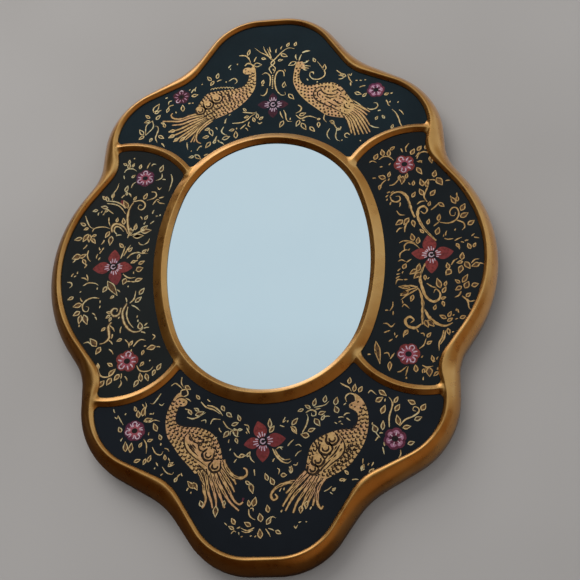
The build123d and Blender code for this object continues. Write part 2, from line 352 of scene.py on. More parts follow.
# ------------------------------------------------------------------ materials
def wire(tree, target, **values):
    """Sets a node's inputs: an output is linked to the input of that name, any other value is set.

    A value that isn't named like an input sets the node's own property."""
    for name, value in values.items():
        socket = target.inputs.get(name.replace("_", " "))
        if socket is None:
            setattr(target, name, value)
        elif isinstance(value, bpy.types.NodeSocket):
            tree.links.new(value, socket)
        else:
            socket.default_value = value


def node(tree, kind, **values):
    """A new shader node with its inputs and properties."""
    made = tree.nodes.new(kind)
    wire(tree, made, **values)
    return made


def new_material(name, colour, roughness, metallic=0.0, **values):
    """A Principled material; returns it with its node tree and shader."""
    made = bpy.data.materials.new(name)
    made.use_nodes = True
    tree = made.node_tree
    shader = tree.nodes["Principled BSDF"]
    wire(tree, shader, Base_Color=(*colour, 1), Roughness=roughness, Metallic=metallic, **values)
    return made, tree, shader


def object_space(tree, stretch=(1, 1, 1)):
    """Object coordinates in millimetres, stretched along the axes."""
    coordinates = node(tree, "ShaderNodeTexCoord").outputs["Object"]
    scale = tuple(part / MM for part in stretch)
    return node(tree, "ShaderNodeMapping", Vector=coordinates, Scale=scale).outputs["Vector"]


def noise(tree, vector, size, detail, roughness=0.55):
    """Noise whose features are about size millimetres across."""
    values = {"Vector": vector, "Scale": 1 / size, "Detail": detail, "Roughness": roughness}
    return node(tree, "ShaderNodeTexNoise", **values).outputs["Fac"]


def ramp(tree, factor, *stops):
    """Colours along a factor, each stop (position, (red, green, blue))."""
    made = node(tree, "ShaderNodeValToRGB", Fac=factor)
    band = made.color_ramp
    while len(band.elements) < len(stops):
        band.elements.new(0.5)
    for element, (position, colour) in zip(band.elements, stops):
        element.position = position
        element.color = (*colour, 1)
    return made.outputs["Color"]


def spread(tree, factor, low, high, from_low=0.3, from_high=0.7):
    """The factor carried from one range to another."""
    values = {"From_Min": from_low, "From_Max": from_high, "To_Min": low, "To_Max": high}
    return node(tree, "ShaderNodeMapRange", Value=factor, **values).outputs["Result"]


def mixed(tree, factor, one, other, blend="MIX"):
    """Two colours mixed; the factor is a number or an output."""
    made = node(tree, "ShaderNodeMix", data_type="RGBA", blend_type=blend)
    for socket, value in ((made.inputs[0], factor), (made.inputs[6], one), (made.inputs[7], other)):
        if isinstance(value, (int, float)):
            socket.default_value = value
        elif isinstance(value, tuple):
            socket.default_value = (*value, 1)
        else:
            tree.links.new(value, socket)
    return made.outputs[2]


def bump(tree, height, depth, strength=1.0):
    """A normal with relief of a few hundredths of a millimetre."""
    values = {"Height": height, "Strength": strength, "Distance": depth * MM}
    return node(tree, "ShaderNodeBump", **values).outputs["Normal"]


def gilding():
    """Bronze-gold leaf over a red-brown ground, burnished and rubbed, under a varnish."""
    varnish = {"Coat_Weight": 0.9, "Coat_Roughness": 0.16}
    made, tree, shader = new_material("gilding", (0.74, 0.38, 0.11), 0.3, 1.0, **varnish)
    space = object_space(tree)
    fine = noise(tree, space, 5, 4, 0.6)
    body = ramp(
        tree,
        noise(tree, space, 16, 2),
        (0.3, (0.70, 0.33, 0.070)),
        (0.5, (0.79, 0.395, 0.095)),
        (0.72, (0.84, 0.45, 0.13)),
    )
    worn = ramp(tree, fine, (0.32, (0.62, 0.46, 0.32)), (0.48, (0.95, 0.92, 0.88)), (0.7, (1.0, 1.0, 1.0)))
    wire(
        tree,
        shader,
        Base_Color=mixed(tree, 0.3, body, worn, "MULTIPLY"),
        Roughness=spread(tree, fine, 0.24, 0.38),
        Normal=bump(tree, noise(tree, space, 3.5, 3, 0.5), 0.05),
    )
    return made


GLASS_GLOSS = {"IOR": 1.5, "Specular_IOR_Level": 0.15}


def painted_glass(name, colour):
    """Glass painted near-black on its back."""
    made, tree, shader = new_material("painted_glass_" + name, colour, 0.16, **GLASS_GLOSS)
    space = object_space(tree)
    thin, full = (tuple(part * share for part in colour) for share in (0.8, 1.2))
    ground = ramp(tree, noise(tree, space, 30, 3), (0.35, thin), (0.65, full))
    wire(tree, shader, Base_Color=ground, Roughness=spread(tree, noise(tree, space, 6, 4), 0.13, 0.2))
    return made


def paint(name, thin, full, other):
    """Brushed paint seen through glass, thin and full in turn, with patches of another hue.

    It is painted a little brighter towards the head of the mirror, by the window, as painted light."""
    made, tree, shader = new_material("paint_" + name, full, 0.2, **GLASS_GLOSS)
    space = object_space(tree)
    rich = mixed(tree, spread(tree, noise(tree, space, 14, 3), 0, 1, 0.46, 0.6), full, other)
    load = spread(tree, noise(tree, space, 1.2, 3, 0.6), 0, 1, 0.34, 0.58)
    height = node(tree, "ShaderNodeSeparateXYZ", Vector=space).outputs["Y"]
    # Painted light: every ink is made brighter towards the head of the mirror, by the window.
    painted_window_light = ramp(
        tree,
        spread(tree, height, 0, 1, -100, 110),
        (0.15, (0.80, 0.79, 0.80)),
        (0.7, (0.84, 0.84, 0.86)),
        (0.95, (1.06, 1.08, 1.10)),
    )
    brushed = mixed(tree, load, thin, rich)
    wire(tree, shader, Base_Color=mixed(tree, 1.0, brushed, painted_window_light, "MULTIPLY"))
    return made


def silvered():
    """The looking glass."""
    made, tree, shader = new_material("silvered_glass", (0.88, 0.95, 0.97), 0.02, 1.0)
    haze = noise(tree, object_space(tree), 30, 3)
    wire(tree, shader, Base_Color=ramp(tree, haze, (0.3, (0.865, 0.94, 0.965)), (0.7, (0.885, 0.955, 0.975))))
    return made


def bare_wood(name, dark, light, stretch=(0.12, 1, 1)):
    """Planed softwood or board, its grain drawn out along the axis with the small stretch."""
    made, tree, shader = new_material(name, light, 0.7)
    grain = noise(tree, object_space(tree, stretch), 1.6, 5, 0.6)
    colour = ramp(tree, grain, (0.32, dark), (0.66, light))
    wire(tree, shader, Base_Color=colour, Normal=bump(tree, grain, 0.06, 0.6))
    return made


def metal(name, dark, light, roughness):
    """Stamped metal, a little tarnished."""
    made, tree, shader = new_material(name, light, roughness, 1.0)
    patina = noise(tree, object_space(tree), 2.2, 4, 0.6)
    colour = ramp(tree, patina, (0.35, dark), (0.6, light))
    dull = spread(tree, patina, roughness + 0.12, roughness - 0.06)
    wire(tree, shader, Base_Color=colour, Roughness=dull)
    return made


def floor_finish():
    """Plain pale floor. For glossy rays only, it is painted near-black towards its foot and left side: a
    painted shadow, where the photographer stood over it.
    """
    made, tree, shader = new_material("pale_floor", (0.40, 0.385, 0.37), 0.75)
    space = object_space(tree)
    tone = ramp(tree, noise(tree, space, 180, 2), (0.35, (0.375, 0.36, 0.345)), (0.65, (0.41, 0.395, 0.38)))
    split = node(tree, "ShaderNodeSeparateXYZ", Vector=space)
    slant = node(tree, "ShaderNodeMath", operation="MULTIPLY_ADD")
    tree.links.new(split.outputs["X"], slant.inputs[0])
    slant.inputs[1].default_value = 0.6
    tree.links.new(split.outputs["Y"], slant.inputs[2])
    towards_head = spread(tree, slant.outputs[0], 0, 1, -130, 60)
    # Painted shadow: glossy rays see the floor near-black towards its foot and left side.
    painted_shadow = mixed(tree, towards_head, (0.04, 0.022, 0.012), tone)
    glossy = node(tree, "ShaderNodeLightPath").outputs["Is Glossy Ray"]
    wire(tree, shader, Base_Color=mixed(tree, glossy, tone, painted_shadow))
    return made


GILT = gilding()
SILVER = silvered()
RAW_WOOD = bare_wood("raw_wood", (0.30, 0.17, 0.08), (0.44, 0.28, 0.15))
RAW_WOOD_UPRIGHT = bare_wood("raw_wood_upright", (0.28, 0.16, 0.075), (0.42, 0.265, 0.14), (1, 0.12, 1))
# Near-black for the ring's inner wall: painted shade, standing in for the dark gap under the ring's lip.
PAINTED_SHADE_EDGE = paint("painted_shade_edge", (0.012, 0.011, 0.010), (0.02, 0.018, 0.016), (0.03, 0.024, 0.018))


# ------------------------------------------------------------------ gilded rim
def gild(name, sections, closed, materials, second=slice(0, 0)):
    """A carved and gilded moulding in the place of the frame's piece of that name."""
    piece = loft("gilded_" + name, sections, closed, materials, second)
    piece.data.set_sharp_from_angle(angle=math.radians(CREASE_DEGREES))
    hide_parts(name)
    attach(piece, "frame")


def rim_section(place, normal, width):
    """One closed cross-section of the rim: lip, front, outer wall, back and rebate."""
    crest = float(rim_crests(width, place[None])[0])
    rise = np.linspace(0, 1, RIM_RISE_POINTS, endpoint=False) * crest
    fall_shares = np.linspace(0, 1, RIM_FALL_POINTS, endpoint=False)
    fall = crest + (width - crest) * np.sin(fall_shares * math.pi / 2)
    places = place + normal * np.r_[rise, fall][:, None]
    front = np.c_[places, carved_heights(places)]
    rest = [(width, RIM_SHOULDER_Z), (width, RIM_MIDDLE_Z), (width, RIM_BACK_ARRIS)]
    rest += [(width - RIM_BACK_ARRIS, 0), (REBATE, 0), (REBATE, FACE_Z), (0, FACE_Z)]
    return np.vstack([front, [(*(place + normal * reach), z) for reach, z in rest]])


def gild_rim():
    """The four rim pieces, cut from one moulding at the waists; the back and the rebate are bare."""
    stations = zip(opening_points, opening_normals, rim_widths)
    sections = np.array([rim_section(*station) for station in stations])
    side, height = opening_points.T
    upright = np.abs(height) < LAP_MIDDLE_Y
    for name, inside, wood in (
        ("rim_top", height > LAP_MIDDLE_Y, RAW_WOOD),
        ("rim_left", upright & (side < 0), RAW_WOOD_UPRIGHT),
        ("rim_bottom", height < -LAP_MIDDLE_Y, RAW_WOOD),
        ("rim_right", upright & (side > 0), RAW_WOOD_UPRIGHT),
    ):
        run = np.flatnonzero(inside)
        breaks = np.flatnonzero(np.diff(run) > 1)
        if len(breaks):
            run = np.roll(run, -(breaks[0] + 1))
        run = np.r_[run, (run[-1] + 1) % len(sections)]
        gild(name, sections[run], False, [GILT, wood], slice(-4, -1))


# ------------------------------------------------------------------ gilded ring and bars
def gild_ring():
    """The ring round the looking glass. Its inner wall is painted near-black as painted shade, standing in
    for the dark gap under the ring's lip and its reflection in the glass.
    """
    points, normals = oval(STATION_STEP)
    stem_start = RING_WIDTH / 2 - RING_STEM / 2
    stem_end = RING_WIDTH / 2 + RING_STEM / 2
    sections = []
    for place, normal, width in zip(points, normals, ring_widths(points)):
        rise = np.linspace(0, RING_CREST, RING_RISE_POINTS, endpoint=False)
        fall = np.linspace(RING_CREST, width, RING_FALL_POINTS)
        places = place + normal * np.r_[rise, fall][:, None]
        front = np.c_[places, carved_heights(places)]
        rest = [(width, FACE_Z), (stem_end, FACE_Z), (stem_end, CARD_TOP_Z)]
        rest += [(stem_start, CARD_TOP_Z), (stem_start, FACE_Z), (0, FACE_Z)]
        sections.append(np.vstack([front, [(*(place + normal * offset), z) for offset, z in rest]]))
    gild("mirror_ring", sections, True, [GILT, PAINTED_SHADE_EDGE], slice(-1, None))


def bar_stations():
    """Angles along the bar in the first quadrant, from under the ring's slope to under the rim's."""
    angles = np.radians(np.linspace(180, 60, 600))
    places = BAR_CENTRE + BAR_RADIUS * np.stack([np.cos(angles), np.sin(angles)], 1)
    clear_of_rim = across_rim(places)[0] < BAR_TUCK
    clear_of_ring = outside_oval(places) > ring_widths(places) - BAR_TUCK
    angles = angles[clear_of_rim & clear_of_ring]
    return np.linspace(angles[0], angles[-1], BAR_STATIONS)


def bar_edge(centre, outward, side):
    """How far one edge of the bar lies from its centre line, its fillets followed."""
    reach = BAR_HALF_WIDTH
    # The width depends on where the edge is, so each round starts from a better guess.
    for _ in range(6):
        reach = float(bar_half_widths((centre + side * reach * outward)[None])[0])
    return side * reach


def gild_bars():
    """The four bars; their ends dip just under the rim's and the ring's surfaces."""
    sections = []
    for angle in bar_stations():
        outward = np.array([math.cos(angle), math.sin(angle)])
        centre = BAR_CENTRE + BAR_RADIUS * outward
        rise = np.linspace(bar_edge(centre, outward, -1), 0, BAR_SIDE_POINTS, endpoint=False)
        fall = np.linspace(0, bar_edge(centre, outward, 1), BAR_SIDE_POINTS + 1)
        places = centre + outward * np.r_[rise, fall][:, None]
        under = np.maximum(across_rim(places)[0], ring_widths(places) - outside_oval(places))
        front = np.c_[places, carved_heights(places) - BAR_DIP * np.clip(under, 0, BAR_TUCK)]
        foot = [(*places[-1], FACE_Z - 0.01), (*places[0], FACE_Z - 0.01)]
        sections.append(np.vstack([front, foot]))
    sections = np.array(sections)
    for name, x_sign, y_sign in (
        ("bar_top_right", 1, 1),
        ("bar_top_left", -1, 1),
        ("bar_bottom_right", 1, -1),
        ("bar_bottom_left", -1, -1),
    ):
        turned = sections * (x_sign, y_sign, 1)
        if x_sign == y_sign:
            turned = turned[::-1]
        gild(name, turned, False, [GILT])


gild_rim()
gild_ring()
gild_bars()


# ------------------------------------------------------------------ finishes of the frame's own pieces
def finish_node(name, material):
    """Gives a frame node its material, in each slot that it has or in a first one."""
    slots = nodes[name].material_slots
    for slot in slots:
        slot.material = material
    if not slots:
        nodes[name].data.materials.append(material)


BRASS = metal("aged_brass", (0.30, 0.20, 0.07), (0.62, 0.45, 0.18), 0.34)
STEEL = metal("steel_wire", (0.28, 0.28, 0.28), (0.52, 0.52, 0.50), 0.32)
BOARD = bare_wood("backboard", (0.16, 0.095, 0.05), (0.27, 0.17, 0.095))
CARD = bare_wood("liner_card", (0.30, 0.25, 0.18), (0.42, 0.36, 0.27))
for name, material in {
    # The head pane is painted a lighter, bluer black than the others: painted reflection of the bright room
    # above it.
    "glass_top": painted_glass("top", (0.0048, 0.0112, 0.0150)),
    "glass_bottom": painted_glass("bottom", (0.0046, 0.0060, 0.0088)),
    "glass_left": painted_glass("left", (0.0080, 0.0088, 0.0080)),
    "glass_right": painted_glass("right", (0.0050, 0.0064, 0.0074)),
    "mirror_glass": SILVER,
    "liner_card": CARD,
    "backboard": BOARD,
    "backboard_brads": STEEL,
    "hanger_strap": BRASS,
    "hanger_rivets": BRASS,
    "hanger_ring": BRASS,
}.items():
    finish_node(name, material)


# ------------------------------------------------------------------ painted ornament: the brush
GOLD, OCHRE, UMBER, PLUMAGE, RED, MAROON, ROSE, BLUSH, PINK, WHITE, DARK, BISTRE = range(12)
INKS = [
    paint("gold", (0.40, 0.25, 0.09), (0.70, 0.51, 0.24), (0.60, 0.53, 0.30)),
    paint("ochre", (0.34, 0.185, 0.055), (0.64, 0.41, 0.165), (0.54, 0.33, 0.12)),
    paint("umber", (0.035, 0.018, 0.010), (0.15, 0.078, 0.026), (0.09, 0.048, 0.022)),
    paint("plumage", (0.40, 0.235, 0.085), (0.62, 0.40, 0.165), (0.62, 0.345, 0.175)),
    paint("red", (0.13, 0.022, 0.018), (0.25, 0.042, 0.036), (0.18, 0.030, 0.034)),
    paint("maroon", (0.030, 0.009, 0.014), (0.070, 0.016, 0.022), (0.045, 0.012, 0.026)),
    paint("rose", (0.070, 0.014, 0.026), (0.16, 0.032, 0.052), (0.10, 0.020, 0.050)),
    paint("blush", (0.24, 0.050, 0.060), (0.36, 0.090, 0.110), (0.28, 0.060, 0.095)),
    paint("pink", (0.26, 0.11, 0.15), (0.44, 0.22, 0.30), (0.36, 0.15, 0.24)),
    paint("white", (0.40, 0.27, 0.31), (0.64, 0.50, 0.54), (0.54, 0.38, 0.46)),
    paint("dark", (0.008, 0.006, 0.005), (0.018, 0.012, 0.009), (0.010, 0.010, 0.012)),
    paint("bistre", (0.050, 0.026, 0.010), (0.024, 0.012, 0.006), (0.014, 0.009, 0.007)),
]
# How far the layers of paint stand over the glass, and how deep each stroke of it is.
GROUND, MARK, LIGHT, TOP = 0.02, 0.045, 0.055, 0.065
PAINT_DEPTH = 0.03
# Strokes that cross in one layer take turns at this many heights, so that none lies in another's face.
TURNS = 3
TURN_RISE = 0.0003
# Feathers lap one another, up to this many before the heights start again.
PLUME_TURNS = 12
PLUME_RISE = 0.002
# Widths of an ordinary brush line, of a leaf's outline and of a stem.
LINE = 0.58
LEAF_LINE = 0.52
STEM_LINE = 0.8
# How a stroke starts and ends, as shares of its full width.
TAPERED = (0.55, 0.25)
BLUNT = (0.7, 0.8)
# Widths of a petal and of an oval, as shares of the full one, at even shares of their length.
SHAPE_SHARES = np.linspace(0.02, 0.98, 12)
POINTED = np.sin(np.pi * SHAPE_SHARES**0.85) ** 0.9
ROUNDED = np.sqrt(1 - (2 * SHAPE_SHARES - 1) ** 2)


def curve(points, step=0.4):
    """A smooth line through the points, evenly stepped."""
    points = np.asarray(points, float)
    if len(points) == 2:
        points = np.array([points[0], points.mean(0), points[1]])
    padded = np.vstack([2 * points[0] - points[1], points, 2 * points[-1] - points[-2]])
    pieces = []
    for before, start, end, after in zip(padded, padded[1:], padded[2:], padded[3:]):
        t = np.linspace(0, 1, 10, endpoint=False)[:, None]
        squared = 2 * before - 5 * start + 4 * end - after
        cubed = 3 * start - before - 3 * end + after
        pieces.append((2 * start + (end - before) * t + (squared * t**2 + cubed * t**3)) / 2)
    line = np.vstack(pieces + [points[-1:]])
    along = np.r_[0, np.cumsum(np.hypot(*np.diff(line, axis=0).T))]
    places = np.linspace(0, along[-1], max(4, int(along[-1] / step) + 1))
    return np.stack([np.interp(places, along, line[:, axis]) for axis in (0, 1)], 1)


def heading(degrees):
    """The unit vector at an angle from +X."""
    return np.array([math.cos(math.radians(degrees)), math.sin(math.radians(degrees))])


def aside(line):
    """Unit vectors to the left of a line at each of its points."""
    along = np.gradient(line, axis=0)
    along /= np.linalg.norm(along, axis=1)[:, None] + 1e-9
    return np.stack([-along[:, 1], along[:, 0]], 1)


class Painting:
    """The brushwork of one panel, gathered into one mesh."""

    def __init__(self, name, gold=GOLD, filled=False, touch=1.0):
        """The ink of its gold lines, whether its leaves have an umber ground, and how broad its lines are."""
        self.name = name
        self.gold = gold
        self.filled = filled
        self.touch = touch
        self.vertices = []
        self.faces = []
        self.inks = []
        self.plumes = 0
        self.strips = 0

    def prism(self, left_edge, right_edge, layer, ink):
        """A thin closed strip of paint between two lines of points."""
        left_edge, right_edge = np.asarray(left_edge), np.asarray(right_edge)
        onward = np.diff(left_edge + right_edge, axis=0)
        across = (left_edge - right_edge)[1:]
        if np.sum(onward[:, 0] * across[:, 1] - onward[:, 1] * across[:, 0]) < 0:
            left_edge, right_edge = right_edge, left_edge
        layer += TURN_RISE * (self.strips % TURNS)
        self.strips += 1
        start = len(self.vertices)
        last = start + 4 * (len(left_edge) - 1)
        for left, right in zip(left_edge, right_edge):
            for place, rise in ((left, 0), (right, 0), (right, PAINT_DEPTH), (left, PAINT_DEPTH)):
                self.vertices.append((place[0], place[1], FACE_Z + (layer - rise)))
        added = [(start + 3, start + 2, start + 1, start)]
        for row in range(start, last, 4):
            for side, following in ((0, 1), (1, 2), (2, 3), (3, 0)):
                added.append((row + side, row + following, row + 4 + following, row + 4 + side))
        added.append((last, last + 1, last + 2, last + 3))
        self.faces += added
        self.inks += [ink] * len(added)

    def stroke(self, points, width, ink=None, layer=MARK, ends=TAPERED):
        """One pull of the brush: it swells from the first point, shakes and thins out at the last."""
        line = curve(points)
        if ink is None:
            ink = self.gold
            width *= self.touch
        share = np.linspace(0, 1, len(line))
        press = ends[0] + (1 - ends[0]) * np.clip(share / 0.25, 0, 1)
        lift = ends[1] + (1 - ends[1]) * np.clip((1 - share) / 0.4, 0, 1)
        shake = 1 + 0.22 * np.sin(2.1 * line[:, 0] + 1.3) * np.sin(1.7 * line[:, 1] + 0.4)
        half = (press * lift * shake * width / 2)[:, None] * aside(line)
        self.prism(line + half, line - half, layer, ink)

    def strokes(self, lines, width=LINE, ink=None, layer=MARK):
        """Strokes alike, each along a row of points."""
        for points in lines:
            self.stroke(points, width, ink, layer)

    def stems(self, lines):
        """Gold lines over a broader umber one."""
        for points in lines:
            self.stroke(points, 2.1 * STEM_LINE, UMBER, GROUND, (0.8, 0.4))
            self.stroke(points, STEM_LINE)

    def leaf(self, x, y, angle, length, fat=0.42):
        """A hollow leaf of two strokes, its middle at (x, y), its tip towards the angle."""
        along = heading(angle)
        across = heading(angle + 90)
        middle = np.array([x, y])
        foot = middle - along * length / 2
        tip = middle + along * length / 2
        for side in (1, -1):
            bulge = middle - along * 0.1 * length + across * (side * fat * length / 2)
            self.stroke([foot, bulge, tip], LEAF_LINE, None, MARK, (0.6, 0.5))
        if self.filled:
            self.petal(*foot, angle, length, 0.8 * fat * length, UMBER)

    def leaves(self, rows):
        """Leaves, each (x, y, angle, length) or (x, y, angle, length, fat)."""
        for row in rows:
            self.leaf(*row)

    def dabs(self, rows, ink=None, width=0.6, layer=MARK):
        """Short touches of the brush, each (x, y, angle, length)."""
        for x, y, angle, length in rows:
            reach = heading(angle) * length / 2
            sag = heading(angle + 90) * 0.08 * length
            self.stroke([(x, y) - reach, (x, y) + sag, (x, y) + reach], width, ink, layer, (0.7, 0.3))

    def patch(self, left, right, layer=GROUND, steps=40):
        """Plumage filled in between two edges, each a row of points from the same end."""
        edges = []
        for edge in (left, right):
            line = curve(edge, 0.2)
            share = np.linspace(0, len(line) - 1, steps)
            edges.append(np.stack([np.interp(share, np.arange(len(line)), row) for row in line.T], 1))
        self.prism(*edges, layer, PLUMAGE)
        return edges

    def petal(self, x, y, angle, length, width, ink=RED, layer=GROUND):
        """A filled, pointed petal from its foot at (x, y)."""
        self.filled_shape(x, y, angle, length, width / 2 * POINTED, ink, layer)

    def oval(self, x, y, angle, length, width, ink, layer):
        """A filled oval from its end at (x, y)."""
        self.filled_shape(x, y, angle, length, width / 2 * ROUNDED, ink, layer)

    def filled_shape(self, x, y, angle, length, halves, ink, layer):
        """A filled shape from its end at (x, y), given half its width along its length."""
        half = heading(angle + 90) * halves[:, None]
        middle = (x, y) + heading(angle) * length * SHAPE_SHARES[:, None]
        self.prism(middle + half, middle - half, layer, ink)

    def crescent(self, x, y, angle, radius, width, ink, layer, sweep):
        """An arc like a letter C, its back towards the angle."""
        turns = np.linspace(angle - sweep / 2, angle + sweep / 2, 5)
        arc = [(x, y) + radius * heading(turn) for turn in turns]
        self.stroke(arc, width, ink, layer, (0.7, 0.6))

    def round_flower(self, x, y, radius, lobes, width, ink=MAROON, start=20, tint=PINK):
        """A flower of round lobes, each brushed with pale strokes of the tint, about a dark eye."""
        middle = np.array([x, y])
        for number in range(lobes):
            turn = start + 360 * number / lobes
            self.round_petal(middle, radius, turn, ink, number)
            for swing in (-17, 15):
                near = middle + 0.42 * radius * heading(turn + 1.3 * swing)
                far = middle + 0.78 * radius * heading(turn + swing)
                bend = (near + far) / 2 + 0.15 * heading(turn + 90)
                self.stroke([near, bend, far], width, tint, LIGHT, BLUNT)
            if number % 2:
                tip = middle + 0.66 * radius * heading(turn)
                self.crescent(*tip, turn, 0.19 * radius, 0.55, WHITE, LIGHT + 0.004, 150)
        if ink != MAROON:
            self.oval(x - 0.62 * radius, y, 0, 1.24 * radius, 1.2 * radius, BLUSH, MARK)
        self.eye(x, y, radius)

    def arched_flower(self, x, y, radius, start, width):
        """A rose flower of six round lobes, each with a pink arch over a white stroke, about a dark eye."""
        middle = np.array([x, y])
        for number in range(6):
            turn = start + 60 * number
            self.round_petal(middle, radius, turn, ROSE, number)
            near, arch, far = (middle + share * radius * heading(turn) for share in (0.3, 0.4, 0.62))
            self.crescent(*arch, turn, 0.24 * radius, 1.5 * width, PINK, LIGHT, 130)
            self.stroke([near, far], 0.5, WHITE, TOP, BLUNT)
        self.eye(x, y, radius)

    def round_petal(self, middle, radius, turn, ink, number):
        """One round petal of a flower, lapping the one before."""
        foot = middle + 0.12 * radius * heading(turn)
        self.oval(*foot, turn, 0.88 * radius, 0.95 * radius, ink, GROUND + 0.001 * number)

    def eye(self, x, y, radius):
        """The dark middle of a round flower."""
        self.oval(x - 0.28 * radius, y, 0, 0.56 * radius, 0.5 * radius, DARK, MARK + 0.004)

    def cross_flower(self, x, y, tips, ink=RED):
        """Four broad pointed petals and a pale, brushed heart."""
        gap = 1.2
        for tip in tips:
            reach = np.array(tip) - (x, y)
            turn = math.degrees(math.atan2(reach[1], reach[0]))
            foot = (x, y) + gap * heading(turn)
            length = float(np.hypot(*reach)) - gap
            self.petal(*foot, turn, length, 0.7 * length, ink)
            for swing, far in ((-31, 3.7), (-10, 4.5), (12, 4.6), (33, 3.7)):
                ends = (x, y) + 2.4 * heading(turn + swing), (x, y) + far * heading(turn + 0.85 * swing)
                self.stroke(ends, 0.55, WHITE, LIGHT, BLUNT)
        self.oval(x - 2.1, y, 0, 4.2, 4.0, DARK, MARK)
        self.crescent(x, y, 200, 1.15, 0.6, WHITE, LIGHT, 300)

    def scales(self, edges, first, last, pitch=1.8, tilt=0.0, size=0.66, sweep=195, width=0.8, layer=MARK):
        """Dark scale marks, packed a pitch apart over a patch between two shares of its length."""
        left, right = edges
        middle = (left + right) / 2
        along = np.r_[0, np.cumsum(np.hypot(*np.diff(middle, axis=0).T))]
        marks = np.empty((0, 2))
        for place in np.arange(first * along[-1], last * along[-1], 0.3):
            low = min(int(np.searchsorted(along, place)), len(left) - 1)
            near, far = (np.array([np.interp(place, along, line) for line in edge.T]) for edge in edges)
            onward = middle[low] - middle[max(0, low - 1)]
            angle = math.degrees(math.atan2(onward[1], onward[0])) + tilt
            breadth = float(np.hypot(*(far - near)))
            for reach in np.arange(0.6, breadth - 0.5, 0.3):
                spot = near + reach / breadth * (far - near)
                if not len(marks) or np.hypot(*(marks - spot).T).min() > pitch:
                    marks = np.vstack([marks, spot])
                    turn = angle + 20 * math.sin(2.3 * len(marks))
                    self.crescent(*spot, turn, size, width, BISTRE, layer, sweep)

    def swirls(self, rows):
        """Curled feathers, each (x, y, angle, radius): a dark ring and a dark eye on gold."""
        for x, y, angle, radius in rows:
            self.oval(x - radius, y, 0, 2 * radius, 2 * radius, PLUMAGE, MARK + 0.006)
            self.crescent(x, y, angle, radius, 1.15, BISTRE, LIGHT, 280)
            self.crescent(x, y, angle, 0.48 * radius, 1.0, BISTRE, LIGHT, 220)

    def tail(self, lines, width=0.95, dashed=False):
        """Long feathers edged with dark, each lapping the one before."""
        for points in lines:
            layer = GROUND + PLUME_RISE * self.plumes
            self.plumes = (self.plumes + 1) % PLUME_TURNS
            self.stroke(points, width + 0.9, BISTRE, layer, (0.9, 0.6))
            self.stroke(points, width, PLUMAGE, layer + 0.001, (0.8, 0.5))
            if dashed:
                line = curve(points)
                for share in (0.18, 0.45):
                    start = int(share * len(line))
                    self.stroke(line[start : start + 9 : 4], 0.42, BISTRE, layer + 0.0018, (0.8, 0.6))

    def finish(self):
        """Makes the panel's mesh."""
        piece = make_mesh("painting_" + self.name, self.vertices, self.faces, INKS, self.inks, smooth=False)
        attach(piece, "frame")


